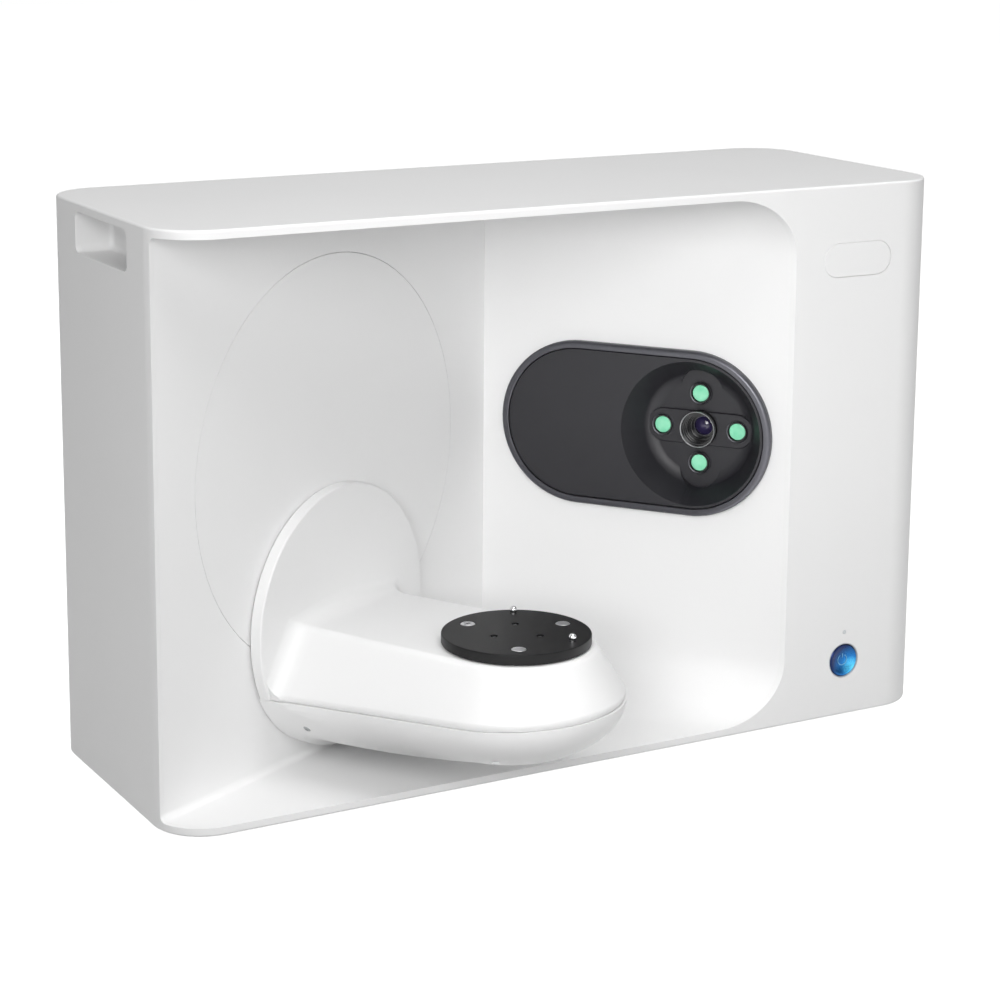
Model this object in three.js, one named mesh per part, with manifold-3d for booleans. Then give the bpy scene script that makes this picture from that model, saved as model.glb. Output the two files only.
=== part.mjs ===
// Desktop 3D scanner in millimetres, Z up, front towards -Y, origin under the middle of the whole outline.
// A white casing wraps a V-shaped scanning bay. The left wall carries a large swing disc, and the disc carries
// an arm with a turntable on a second, parallel axis. The right wall carries the camera pod.
import * as THREE from 'three';
import { mergeVertices } from 'three/addons/utils/BufferGeometryUtils.js';
import Module from 'manifold-3d';

const wasm = await Module();
wasm.setup();

// Whole body
const bodyWidth = 505;
const bodyDepth = 185;
const bodyHeight = 330;
const bodyCornerRadius = 30;
const bodyEdgeRadius = 1.6;
const fit = 0.3;
const overrun = 2;

// Casing and rear cover
const casingWall = 3;
const casingPlate = 2.2;
const backWall = 5.5;
const coverThickness = 2.5;
const coverSideMargin = 32;
const coverEndMargin = 9;
const coverLedge = 7;
const coverCornerRadius = 8;

// Feet
const footHeight = 10;
const footRadius = 13;
const footTipRadius = 12;
const footSideInset = 60;
const footFrontInset = 58;
const footBackInset = 30;

// Scanning bay
const tubWall = 2.5;
const leftWallStart = 21.6;
const leftWallAngle = THREE.MathUtils.degToRad(26.8);
const leftWallLength = 310;
const panelWidth = 108;
const leftFilletRadius = 4;
const rightFilletRadius = 36;

// Handle cups
const handleFront = 52;
const handleLength = 78;
const handleHeight = 23;
const handleTopDrop = 5;
const handleDepth = 24;
const handleCornerRadius = 4;
const cupWall = 2;
const cupFlange = 2.5;

// Swing disc in the left wall, with its hub behind
const swingAlong = 154;
const swingHeight = 177;
const discRadius = 119.8;
const discRunningGap = 0.4;
const discThickness = 3;
const discRimWidth = 4;
const discRimDepth = 9;
const hubRadius = 22;
const hubBoreRadius = 17;
const hubLength = 49;

// Steel swing frame behind the disc
const frameHalfWidth = 106;
const frameHalfHeight = 110;
const frameDepth = 40;
const frameThickness = 4;
const framePostOffset = 98;
const framePostRadius = 5;
const frameCornerRadius = 12;
const frameBossRadius = 38;
const swingBearingRadius = 31;
const swingBearingStart = 38.5;
const swingBearingLength = 8;
const frameWindowSide = 46;
const frameWindowOffset = 66;

// Gears: a 2.5 mm module with some backlash
const gearModule = 2.5;
const addendumShare = 0.8;
const dedendumShare = 1.15;
const toothRootShare = 0.3;
const toothTipShare = 0.14;
const pinionTeeth = 8;
const swingGearTeeth = 44;
const liftGearTeeth = 28;
const swingGearStart = 31;
const swingGearLength = 5;
const liftGearStart = 23.5;
const liftGearLength = 5;

// Motors
const motorSide = 42;
const motorPilotRadius = 11;
const motorPilotHeight = 1.5;
const motorShaftRadius = 2.5;
const swingMotorLength = 34;
const liftMotorLength = 18.5;
const tableMotorSide = 35;
const tableMotorLength = 24;

// Lift axis: the arm turns on it, below the swing axis and parallel to it
const liftOffset = 91.3;
const liftShaftRadius = 12;
const liftShaftBoreRadius = 8;
const liftBearingRadius = 18;
const liftBearingLength = 9;
const liftBossRadius = 22;
const liftBossDepth = 13;
const liftShaftFrontReach = 6.5;

// Arm shells
const flangeRadius = 77;
const flangeThickness = 8.4;
const flangeGap = 0.6;
const flangeEdgeRadius = 1.5;
const flangeBacking = 0.8;
const armTop = 4.5;
const armTopHalfWidth = 43;
const armTopEndRadius = 45;
const partingRootDrop = 34;
const partingTipDrop = 24.5;
const armRootHalfWidth = 68;
const armEndRadius = 62;
const armShellWall = 2.5;
const bowlRootDepth = 35;
const bowlMidDepth = 37;
const bowlEndDepth = 33;
const screwWellRadius = 3.3;
const screwWellSideInset = 16;
const screwWellRootInset = 26;

// Arm beam, turntable drive and turntable
const tableAlong = 129;
const beamHalfWidth = 16;
const beamDrop = 3;
const beamThickness = 4;
const beamEndReach = 18;
const beamFootHalfWidth = 28;
const beamFootHeight = 27;
const spindleRadius = 7;
const spindleBoreRadius = 2.8;
const spindleLength = 13;
const tableBearingRadius = 11;
const tableBearingLength = 6;
const shellSpindleHoleRadius = 8.5;
const tableRadius = 42;
const tableLift = 0.5;
const tableThickness = 6;
const tableEdgeRadius = 0.8;
const pinCircleRadius = 34.5;
const pinRadius = 1.6;
const pinBallRadius = 2.2;
const pinHeight = 3.4;
const pinSocketDepth = 3;
const insertCircleRadius = 30.8;
const insertRadius = 4.2;
const insertThickness = 2.5;
const tableHoleCircleRadius = 14.7;
const tableHoleRadius = 2.2;
const tableHoleDepth = 3.5;

// Camera pod on the right wall
const podAlong = 102;
const podHalfStraight = 36.5;
const podRadius = 51;
const podStandout = 5;
const podEdgeRadius = 2;
const podTubeRadius = 49;
const podTubeDepth = 14;
const podInnerRadius = 46.6;
const podFaceInset = 0.8;
const podFaceThickness = 2.5;
const dishRimRadius = 44.5;
const dishFloorRadius = 33;
const dishDepth = 20;
const dishFloorThickness = 2;
const pocketRadius = 12.9;
const pocketHalfStraight = 24.5;
const pocketDepth = 9.8;
const bandHalfStraight = 23.5;
const bandRadius = 10.5;
const bandHeight = 1.5;

// Cameras and projector
const cameraSide = 24;
const cameraUp = 21.7;
const cameraBarrelRadius = 6.2;
const cameraBodySide = 20;
const cameraBodyLength = 17.7;
const cameraBarrelStandout = 2.2;
const windowRadius = 5;
const windowThickness = 1.4;
const bracketStart = 34;
const bracketThickness = 3;
const bracketSideReach = 62;
const bracketHalfHeight = 64;
const bracketCornerRadius = 8;
const bracketPostRadius = 4;
const bracketPostAlong = 46;
const bracketPostUp = 58;
const projectorRadius = 10.9;
const projectorRingRadius = 11.2;
const projectorRingBoreRadius = 10.2;
const projectorRingLength = 2;
const projectorStandout = 6.8;
const projectorBoreRadius = 9.4;
const projectorStepRadius = 7.6;
const projectorSeatRadius = 6.2;
const projectorBoreDepth = 5.7;
const projectorStepDepth = 4;
const projectorSeatDepth = 5;
const projectorLensRadius = 5.9;
const projectorLensDome = 1.6;
const engineSide = 60;
const engineHeight = 60;
const engineLength = 54;
const sinkFins = 8;
const sinkRoot = 2;
const sinkLength = 14;
const sinkHalf = 25;
const sinkFinThickness = 2;

// Front panel: power button, pilot light and oval plate
const buttonFromRight = 63.4;
const buttonHeight = 35;
const buttonRadius = 10.1;
const buttonDish = 1.6;
const buttonLength = 6;
const buttonTravel = 1.5;
const buttonStemRadius = 2.4;
const buttonStemLength = 7;
const ringRadius = 11;
const ringBoreRadius = 10.4;
const ringFlangeRadius = 14;
const ringFlangeThickness = 2;
const ringLength = 16;
const ringBackWall = 2;
const springRadius = 6;
const springBoreRadius = 4.2;
const springLength = 5.9;
const pilotHeight = 53;
const pilotRadius = 1.25;
const pilotFlangeRadius = 2.6;
const pilotFlangeThickness = 1.5;
const ovalHeight = 285;
const ovalHalfStraight = 14.4;
const ovalRadius = 10.25;
const ovalThickness = 0.9;

// Rear panel: mains inlet with rocker switch, data socket, fan and board
const inletFromRight = 70;
const inletHeight = 36;
const inletHalfWidth = 27;
const inletHalfHeight = 12;
const inletLength = 24;
const inletFlange = 3;
const inletFlangeThickness = 2;
const socketCentre = 12;
const socketHalfWidth = 12;
const socketHalfHeight = 8.5;
const socketDepth = 17;
const socketCornerRadius = 3;
const bladeHalfWidth = 1.2;
const bladeHalfHeight = 2.2;
const bladeSpacing = 7;
const bladeLift = 3;
const bladeLength = 12;
const rockerCentre = 15;
const rockerHalfWidth = 5.5;
const rockerHalfHeight = 8.5;
const rockerRecess = 8;
const rockerGap = 0.8;
const rockerThickness = 3;
const rockerSink = 2.5;
const rockerPivotRadius = 2.2;
const dataFromRight = 140;
const dataHalfWidth = 7;
const dataHalfHeight = 6.5;
const dataCavityHalfWidth = 4.5;
const dataCavityHalfHeight = 4.2;
const dataCavityDepth = 10;
const dataLength = 17;
const dataTongueHalfWidth = 2.4;
const dataTongueHalfHeight = 1;
const dataTongueLength = 3;
const fanFromRight = 75;
const fanHeight = 105;
const fanSide = 60;
const fanDepth = 15;
const fanBoreRadius = 27.5;
const fanHubRadius = 11;
const fanBladeRadius = 26;
const fanBlades = 7;
const fanBladeWidth = 9;
const fanBladeThickness = 1.6;
const fanBladePitch = THREE.MathUtils.degToRad(38);
const fanSpokeWidth = 4;
const fanSpokeThickness = 2;
const fanSpindleRadius = 1.5;
const grilleSlots = 7;
const grilleSlotHeight = 4;
const grillePitch = 7.5;
const grilleHalfLength = 26;
const boardHalfWidth = 80;
const boardHalfHeight = 42;
const boardFromRight = 120;
const boardFromTop = 68;
const boardThickness = 1.6;
const boardStandoff = 6;
const boardStandoffRadius = 3;
const boardChipHeight = 5;
const supplyWidth = 100;
const supplyDepth = 88;
const supplyHeight = 40;
const supplyFromRight = 12;
const supplyInletGap = 15;

// Facets of round pieces, and of a quarter turn in an outline
const round = 36;
const roundLarge = 80;
const roundSmall = 14;
const roundLens = 24;
const cornerSteps = 2;
const broadSteps = 4;
const podSegments = 8;
const diskSteps = 9;

// Geometry helpers
function roundedRect(x0, y0, x1, y1, r) {
  const shape = new THREE.Shape();
  shape.absarc(x1 - r, y0 + r, r, -Math.PI / 2, 0);
  shape.absarc(x1 - r, y1 - r, r, 0, Math.PI / 2);
  shape.absarc(x0 + r, y1 - r, r, Math.PI / 2, Math.PI);
  shape.absarc(x0 + r, y0 + r, r, Math.PI, 1.5 * Math.PI);
  return shape;
}

function stadium(halfStraight, r) {
  const shape = new THREE.Shape();
  shape.absarc(halfStraight, 0, r, -Math.PI / 2, Math.PI / 2);
  shape.absarc(-halfStraight, 0, r, Math.PI / 2, 1.5 * Math.PI);
  return shape;
}

function extruded(shape, length, edge = 0, segments = cornerSteps) {
  const rounded = edge > 0;
  const geometry = new THREE.ExtrudeGeometry(shape, {
    depth: length - 2 * edge,
    curveSegments: segments,
    bevelEnabled: rounded,
    bevelThickness: edge,
    bevelSize: edge,
    bevelOffset: -edge,
    bevelSegments: 1,
  });
  return geometry.translate(0, 0, edge);
}

// Outline in X and Y, standing from bottom to top
function column(shape, bottom, top, edge, segments) {
  return extruded(shape, top - bottom, edge, segments).translate(0, 0, bottom);
}

// Outline in X and Z, running from front to back
function plate(shape, front, back, edge, segments) {
  return extruded(shape, back - front, edge, segments).rotateX(Math.PI / 2).translate(0, back, 0);
}

// Outline in Y and Z, running along X
function beam(shape, start, end, segments) {
  const turn = new THREE.Matrix4().makeBasis(
    new THREE.Vector3(0, 1, 0),
    new THREE.Vector3(0, 0, 1),
    new THREE.Vector3(1, 0, 0),
  );
  return extruded(shape, end - start, 0, segments).applyMatrix4(turn).translate(start, 0, 0);
}

function block(x0, x1, y0, y1, z0, z1) {
  const geometry = new THREE.BoxGeometry(x1 - x0, y1 - y0, z1 - z0);
  return geometry.translate((x0 + x1) / 2, (y0 + y1) / 2, (z0 + z1) / 2);
}

// Round bar along Y
function drum(r, front, back, x = 0, z = 0, segments = round) {
  return new THREE.CylinderGeometry(r, r, back - front, segments).translate(x, (front + back) / 2, z);
}

// Round bar along Z
function pillar(r, bottom, top, x = 0, y = 0, segments = round) {
  const bar = new THREE.CylinderGeometry(r, r, top - bottom, segments).rotateX(Math.PI / 2);
  return bar.translate(x, y, (bottom + top) / 2);
}

// Profile of [radius, place along Y] pairs spun about Y
function spun(profile, segments = round) {
  return new THREE.LatheGeometry(profile.map(([r, y]) => new THREE.Vector2(r, y)), segments);
}

// Rings of equally many points, joined in turn and closed by a fan at each end
function loft(rings) {
  const count = rings[0].length;
  const positions = [];
  const index = [];
  for (const ring of rings) {
    for (const point of ring) {
      positions.push(point.x, point.y, point.z);
    }
  }
  for (let k = 0; k + 1 < rings.length; k += 1) {
    for (let i = 0; i < count; i += 1) {
      const a = k * count + i;
      const b = k * count + (i + 1) % count;
      index.push(a, b, b + count, a, b + count, a + count);
    }
  }
  const last = (rings.length - 1) * count;
  for (let i = 1; i + 1 < count; i += 1) {
    index.push(0, i + 1, i, last, last + i, last + i + 1);
  }
  const geometry = new THREE.BufferGeometry();
  geometry.setAttribute('position', new THREE.Float32BufferAttribute(positions, 3));
  geometry.setIndex(index);
  return geometry;
}

function toManifold(source) {
  const bare = source.clone();
  bare.deleteAttribute('normal');
  bare.deleteAttribute('uv');
  const geometry = mergeVertices(bare);
  const at = geometry.attributes.position;
  const index = geometry.index.array;
  const kept = [];
  let volume = 0;
  const [a, b, c] = [new THREE.Vector3(), new THREE.Vector3(), new THREE.Vector3()];
  for (let i = 0; i < index.length; i += 3) {
    const [p, q, r] = [index[i], index[i + 1], index[i + 2]];
    if (p === q || q === r || r === p) continue;
    kept.push(p, q, r);
    volume += a.fromBufferAttribute(at, p).dot(b.fromBufferAttribute(at, q).cross(c.fromBufferAttribute(at, r)));
  }
  if (volume < 0) kept.reverse();
  const vertProperties = new Float32Array(at.array);
  return new wasm.Manifold(new wasm.Mesh({ numProp: 3, vertProperties, triVerts: new Uint32Array(kept) }));
}

function fromManifold(solid) {
  const mesh = solid.getMesh();
  const geometry = new THREE.BufferGeometry();
  geometry.setAttribute('position', new THREE.BufferAttribute(new Float32Array(mesh.vertProperties), 3));
  geometry.setIndex(new THREE.BufferAttribute(new Uint32Array(mesh.triVerts), 1));
  return geometry;
}

function join(...pieces) {
  return fromManifold(pieces.map(toManifold).reduce((sum, piece) => sum.add(piece)));
}

function cut(base, ...tools) {
  return fromManifold(tools.map(toManifold).reduce((rest, tool) => rest.subtract(tool), toManifold(base)));
}

function common(first, second) {
  return fromManifold(toManifold(first).intersect(toManifold(second)));
}

function ringSolid(r, bore, front, back, x = 0, z = 0, segments = round) {
  return cut(drum(r, front, back, x, z, segments), drum(bore, front - overrun, back + overrun, x, z, segments));
}

// Finishes: colour, roughness, metalness
const finishes = {
  whiteShell: [0xe9eaea, 0.5, 0],
  darkPlastic: [0x35343a, 0.45, 0],
  blackPlastic: [0x202022, 0.5, 0],
  rimMetal: [0x77777c, 0.35, 0.8],
  steel: [0x9a9c9e, 0.4, 0.9],
  aluminium: [0xb8babc, 0.45, 0.85],
  chrome: [0xd8d8da, 0.12, 1],
  blueMetal: [0x1c6fae, 0.25, 0.7],
  greenGlass: [0x66d3a6, 0.08, 0.1],
  lensGlass: [0x1c1a2c, 0.05, 0.1],
  board: [0x1d6b3a, 0.5, 0],
  rubber: [0x2a2a2a, 0.8, 0],
  lightPipe: [0xd4d7d8, 0.3, 0],
};

function addPiece(parent, name, geometry, finish) {
  const [color, roughness, metalness] = finishes[finish];
  const piece = new THREE.Mesh(geometry, new THREE.MeshStandardMaterial({ color, roughness, metalness }));
  piece.name = name;
  parent.add(piece);
  return piece;
}

// Places that several pieces share, in the body's frame: X from the left side, Y from the front, Z from the bottom
const bayFloor = casingPlate + fit + tubWall;
const bayCeiling = bodyHeight - bayFloor;
const fold = new THREE.Vector2(
  leftWallLength * Math.cos(leftWallAngle),
  leftWallStart + leftWallLength * Math.sin(leftWallAngle),
);
const openingEdge = new THREE.Vector2(bodyWidth - panelWidth, 0);
const rightWallAngle = openingEdge.clone().sub(fold).angle();
const swingPoint = new THREE.Vector3(
  swingAlong * Math.cos(leftWallAngle),
  leftWallStart + swingAlong * Math.sin(leftWallAngle),
  swingHeight,
);
const podPoint = new THREE.Vector3(
  fold.x + podAlong * Math.cos(rightWallAngle),
  fold.y + podAlong * Math.sin(rightWallAngle),
  swingHeight,
);
const bodyOutline = roundedRect(0, 0, bodyWidth, bodyDepth, bodyCornerRadius);
const coverInnerFace = bodyDepth - coverThickness;
const coverSeat = coverInnerFace - fit;
const buttonX = bodyWidth - buttonFromRight;

function ontoLeftWall(geometry) {
  return geometry.rotateZ(leftWallAngle).translate(swingPoint.x, swingPoint.y, swingPoint.z);
}

function ontoRightWall(geometry) {
  return geometry.rotateZ(rightWallAngle).translate(podPoint.x, podPoint.y, podPoint.z);
}

// The open space of the scanning bay, grown all round by the given amount
function bayVolume(grow) {
  const reach = bodyWidth + bodyDepth;
  const section = (fillet) => roundedRect(-reach, bayFloor - grow, grow, bayCeiling + grow, fillet + grow);
  const left = beam(section(leftFilletRadius), -reach, reach, broadSteps).rotateZ(leftWallAngle);
  const right = beam(section(rightFilletRadius), -reach, reach, broadSteps).rotateZ(rightWallAngle);
  return common(left.translate(0, leftWallStart, 0), right.translate(fold.x, fold.y, 0));
}

const body = new THREE.Group();

// Handle cups: pockets for the fingers, let into both sides
const handleBack = handleFront + handleLength;
const handleTop = bodyHeight - handleTopDrop;
const handleBottom = handleTop - handleHeight;

function handleWindow(grow, depth) {
  const outline = roundedRect(
    handleFront - grow,
    handleBottom - grow,
    handleBack + grow,
    handleTop + grow,
    handleCornerRadius + grow,
  );
  return beam(outline, 0, depth);
}

function handleCup() {
  const flange = handleWindow(cupFlange - fit, cupWall).translate(casingWall + fit, 0, 0);
  const cup = join(handleWindow(-fit, handleDepth), flange);
  return cut(cup, handleWindow(-cupWall, handleDepth - cupWall + overrun).translate(-overrun, 0, 0));
}

const mirrored = new THREE.Matrix4().makeScale(-1, 1, 1).setPosition(bodyWidth, 0, 0);
addPiece(body, 'left_handle_cup', handleCup(), 'whiteShell');
addPiece(body, 'right_handle_cup', cut(handleCup().applyMatrix4(mirrored)), 'whiteShell');

// Outer casing: one wrap with round corners, open at the back for the cover and at the front for the bay
function outerCasing() {
  const outer = column(bodyOutline, 0, bodyHeight, bodyEdgeRadius, broadSteps);
  const hollowOutline = roundedRect(
    casingWall,
    casingWall,
    bodyWidth - casingWall,
    bodyDepth - backWall,
    bodyCornerRadius - casingWall,
  );
  const hollow = column(hollowOutline, casingPlate, bodyHeight - casingPlate, 0, broadSteps);
  const recess = coverOutline(0);
  const window = coverOutline(coverLedge);
  const leftWindow = handleWindow(0, casingWall + overrun).translate(-overrun, 0, 0);
  const rightWindow = handleWindow(0, casingWall + overrun).translate(bodyWidth - casingWall, 0, 0);
  const buttonHole = drum(ringRadius + fit, -overrun, casingWall + overrun, buttonX, buttonHeight);
  const pilotHole = drum(pilotRadius + fit, -overrun, casingWall + overrun, buttonX, pilotHeight, roundSmall);
  const ovalRecess = plate(stadium(ovalHalfStraight, ovalRadius + fit), -overrun, ovalThickness + fit, 0, broadSteps);
  return cut(
    outer,
    hollow,
    bayVolume(tubWall + fit),
    plate(recess, coverSeat, bodyDepth + overrun),
    plate(window, bodyDepth - backWall - overrun, bodyDepth + overrun),
    leftWindow,
    rightWindow,
    buttonHole,
    pilotHole,
    ovalRecess.translate(buttonX, 0, ovalHeight),
  );
}

function coverOutline(inset) {
  return roundedRect(
    coverSideMargin + inset,
    coverEndMargin + inset,
    bodyWidth - coverSideMargin - inset,
    bodyHeight - coverEndMargin - inset,
    coverCornerRadius,
  );
}

addPiece(body, 'outer_casing', outerCasing(), 'whiteShell');

// Lining of the bay in four mouldings that meet in fine seams: each slanted wall holds its own fillets,
// and the flat floor and ceiling lie between them
function nearWall(angle, x, y, depth) {
  const reach = bodyWidth + bodyDepth;
  return block(-reach, reach, -depth, reach, -reach, reach).rotateZ(angle).translate(x, y, 0);
}

const nearLeft = (seam) => nearWall(leftWallAngle, 0, leftWallStart, leftFilletRadius + seam);
const nearRight = (seam) => nearWall(rightWallAngle, fold.x, fold.y, rightFilletRadius + seam);
const lining = common(
  cut(bayVolume(tubWall), bayVolume(0)),
  column(bodyOutline, 0, bodyHeight, 0, broadSteps),
);
const discHole = drum(discRadius + discRunningGap, -overrun, tubWall + overrun, 0, 0, roundLarge);
addPiece(body, 'bay_left_wall', cut(common(lining, nearLeft(0)), ontoLeftWall(discHole)), 'whiteShell');
const podHole = plate(stadium(podHalfStraight, podTubeRadius + fit), -overrun, tubWall + overrun, 0, podSegments);
const rightWall = cut(common(lining, nearRight(0)), nearLeft(fit), ontoRightWall(podHole));
addPiece(body, 'bay_right_wall', rightWall, 'whiteShell');
const flats = cut(lining, nearLeft(fit), nearRight(fit));
const lowerHalf = block(-overrun, bodyWidth, -overrun, bodyDepth, -overrun, swingHeight);
addPiece(body, 'bay_floor', common(flats, lowerHalf), 'whiteShell');
addPiece(body, 'bay_ceiling', cut(flats, lowerHalf), 'whiteShell');

// Rear cover in its recess, with openings for the fan, the inlet and the data socket
const fanX = bodyWidth - fanFromRight;
const inletX = bodyWidth - inletFromRight;
const dataX = bodyWidth - dataFromRight;

function rearCover() {
  const tools = [];
  for (let i = 0; i < grilleSlots; i += 1) {
    const z = fanHeight + (i - (grilleSlots - 1) / 2) * grillePitch;
    const half = grilleSlotHeight / 2;
    tools.push(block(
      fanX - grilleHalfLength, fanX + grilleHalfLength,
      coverInnerFace - overrun, bodyDepth + overrun, z - half, z + half,
    ));
  }
  tools.push(block(
    inletX - inletHalfWidth - fit, inletX + inletHalfWidth + fit, coverInnerFace - overrun, bodyDepth + overrun,
    inletHeight - inletHalfHeight - fit, inletHeight + inletHalfHeight + fit,
  ));
  tools.push(block(
    dataX - dataHalfWidth - fit, dataX + dataHalfWidth + fit, coverInnerFace - overrun, bodyDepth + overrun,
    inletHeight - dataHalfHeight - fit, inletHeight + dataHalfHeight + fit,
  ));
  return cut(plate(coverOutline(fit), coverInnerFace, bodyDepth), ...tools);
}

addPiece(body, 'rear_cover', rearCover(), 'whiteShell');

// Rubber feet under the four corners
const footPlaces = {
  foot_front_left: [footSideInset, footFrontInset],
  foot_front_right: [bodyWidth - footSideInset, footFrontInset],
  foot_back_left: [footSideInset, bodyDepth - footBackInset],
  foot_back_right: [bodyWidth - footSideInset, bodyDepth - footBackInset],
};
for (const [name, [x, y]] of Object.entries(footPlaces)) {
  const foot = new THREE.CylinderGeometry(footRadius, footTipRadius, footHeight - fit, round).rotateX(Math.PI / 2);
  addPiece(body, name, foot, 'rubber').position.set(x, y, -(footHeight + fit) / 2);
}

// Power button in its ring, pilot light and oval plate on the front panel
function buttonRing() {
  const tube = join(
    drum(ringRadius, 0, ringLength),
    drum(ringFlangeRadius, casingWall + fit, casingWall + fit + ringFlangeThickness),
  );
  return cut(
    tube,
    drum(ringBoreRadius, -overrun, ringLength - ringBackWall),
    drum(buttonStemRadius + fit, 0, ringLength + overrun, 0, 0, roundSmall),
  );
}

function powerButton() {
  return spun([
    [0, buttonDish],
    [buttonRadius / 2, buttonDish * 0.75],
    [buttonRadius - buttonDish / 2, 0],
    [buttonRadius, buttonDish / 4],
    [buttonRadius, buttonLength],
    [buttonStemRadius, buttonLength],
    [buttonStemRadius, buttonLength + buttonStemLength],
    [0, buttonLength + buttonStemLength],
  ], roundLens);
}

const front = new THREE.Group();
front.position.set(buttonX, 0, 0);
body.add(front);
addPiece(front, 'button_ring', buttonRing(), 'blackPlastic').position.z = buttonHeight;
addPiece(front, 'power_button', powerButton(), 'blueMetal').position.z = buttonHeight;
const springEnd = ringLength - ringBackWall - fit;
const spring = ringSolid(springRadius, springBoreRadius, springEnd - springLength, springEnd, 0, 0, roundSmall);
addPiece(front, 'button_spring', spring, 'steel').position.z = buttonHeight;
const pilot = join(
  drum(pilotRadius, 0, casingWall + fit + pilotFlangeThickness, 0, 0, roundSmall),
  drum(pilotFlangeRadius, casingWall + fit, casingWall + fit + pilotFlangeThickness, 0, 0, roundSmall),
);
addPiece(front, 'pilot_light', pilot, 'lightPipe').position.z = pilotHeight;
const oval = plate(stadium(ovalHalfStraight, ovalRadius), 0, ovalThickness, 0, broadSteps);
addPiece(front, 'oval_plate', oval, 'whiteShell').position.z = ovalHeight;

// Mains inlet and rocker switch in one body behind the rear cover, seen from behind
function mainsInlet() {
  const flangeBack = coverSeat;
  const flangeFront = coverSeat - inletFlangeThickness;
  const body0 = bodyDepth - inletLength;
  const shell = join(
    block(-inletHalfWidth, inletHalfWidth, body0, bodyDepth, -inletHalfHeight, inletHalfHeight),
    block(
      -inletHalfWidth - inletFlange, inletHalfWidth + inletFlange, flangeFront, flangeBack,
      -inletHalfHeight - inletFlange, inletHalfHeight + inletFlange,
    ),
  );
  const socket = plate(
    roundedRect(-socketHalfWidth, -socketHalfHeight, socketHalfWidth, socketHalfHeight, socketCornerRadius),
    bodyDepth - socketDepth,
    bodyDepth + overrun,
  );
  const rockerHole = block(
    -rockerHalfWidth - rockerGap, rockerHalfWidth + rockerGap, bodyDepth - rockerRecess, bodyDepth + overrun,
    -rockerHalfHeight - rockerGap, rockerHalfHeight + rockerGap,
  );
  const hollow = cut(shell, socket.translate(socketCentre, 0, 0), rockerHole.translate(-rockerCentre, 0, 0));
  const blades = [[-bladeSpacing, 0], [bladeSpacing, 0], [0, bladeLift]].map(([x, z]) => block(
    socketCentre + x - bladeHalfWidth, socketCentre + x + bladeHalfWidth,
    bodyDepth - socketDepth - overrun, bodyDepth - socketDepth + bladeLength,
    z - bladeHalfHeight, z + bladeHalfHeight,
  ));
  return join(hollow, ...blades);
}

function rocker() {
  const face = bodyDepth - rockerSink;
  const paddle = block(
    -rockerHalfWidth, rockerHalfWidth, face - rockerThickness, face, -rockerHalfHeight, rockerHalfHeight,
  );
  const barrel = new THREE.CylinderGeometry(rockerPivotRadius, rockerPivotRadius, 2 * rockerHalfWidth, roundSmall);
  return join(paddle, barrel.rotateZ(Math.PI / 2).translate(0, face - rockerThickness, 0));
}

const inlet = new THREE.Group();
inlet.position.set(inletX, 0, inletHeight);
body.add(inlet);
addPiece(inlet, 'mains_inlet', mainsInlet(), 'blackPlastic');
addPiece(inlet, 'rocker_switch', rocker(), 'blackPlastic').position.x = -rockerCentre;

function dataSocket() {
  const shell = join(
    block(-dataHalfWidth, dataHalfWidth, bodyDepth - dataLength, bodyDepth, -dataHalfHeight, dataHalfHeight),
    block(
      -dataHalfWidth - inletFlange, dataHalfWidth + inletFlange, coverSeat - inletFlangeThickness, coverSeat,
      -dataHalfHeight - inletFlange, dataHalfHeight + inletFlange,
    ),
  );
  const cavity = block(
    -dataCavityHalfWidth, dataCavityHalfWidth, bodyDepth - dataCavityDepth, bodyDepth + overrun,
    -dataCavityHalfHeight, dataCavityHalfHeight,
  );
  const tongue = block(
    -dataTongueHalfWidth, dataTongueHalfWidth, bodyDepth - dataCavityDepth - overrun,
    bodyDepth - dataCavityDepth + dataTongueLength, -dataTongueHalfHeight, dataTongueHalfHeight,
  );
  return join(cut(shell, cavity), tongue);
}

addPiece(body, 'data_socket', dataSocket(), 'steel').position.set(dataX, 0, inletHeight);

// Cooling fan on the rear cover
const fanFront = coverSeat - fanDepth;

function fanFrame() {
  const half = fanSide / 2;
  const rim = cut(
    plate(roundedRect(-half, -half, half, half, handleCornerRadius), fanFront, coverSeat),
    drum(fanBoreRadius, fanFront - overrun, coverSeat + overrun),
  );
  const spokes = [0, 1].map((i) => block(
    -fanBoreRadius - overrun, fanBoreRadius + overrun, fanFront, fanFront + fanSpokeThickness,
    -fanSpokeWidth / 2, fanSpokeWidth / 2,
  ).rotateY(i * Math.PI / 2));
  const spindle = drum(fanSpindleRadius, fanFront, coverSeat - overrun, 0, 0, roundSmall);
  return join(rim, ...spokes, drum(fanHubRadius, fanFront, fanFront + fanSpokeThickness), spindle);
}

function fanRotor() {
  const start = fanFront + fanSpokeThickness + fit;
  const end = coverSeat - fit;
  const middle = (start + end) / 2;
  const length = (end - start) / 2;
  const blades = [];
  for (let i = 0; i < fanBlades; i += 1) {
    const blade = block(0, fanBladeRadius, -fanBladeWidth / 2, fanBladeWidth / 2, -fanBladeThickness / 2, fanBladeThickness / 2);
    blades.push(blade.rotateX(fanBladePitch).rotateY(2 * Math.PI * i / fanBlades).translate(0, middle, 0));
  }
  const hub = drum(fanHubRadius, middle - length, middle + length);
  const bore = drum(fanSpindleRadius + fit, start - overrun, coverSeat - overrun + fit, 0, 0, roundSmall);
  return cut(join(hub, ...blades), bore);
}

const fan = new THREE.Group();
fan.position.set(fanX, 0, fanHeight);
body.add(fan);
addPiece(fan, 'fan_frame', fanFrame(), 'blackPlastic');
addPiece(fan, 'fan_rotor', fanRotor(), 'blackPlastic');

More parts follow.
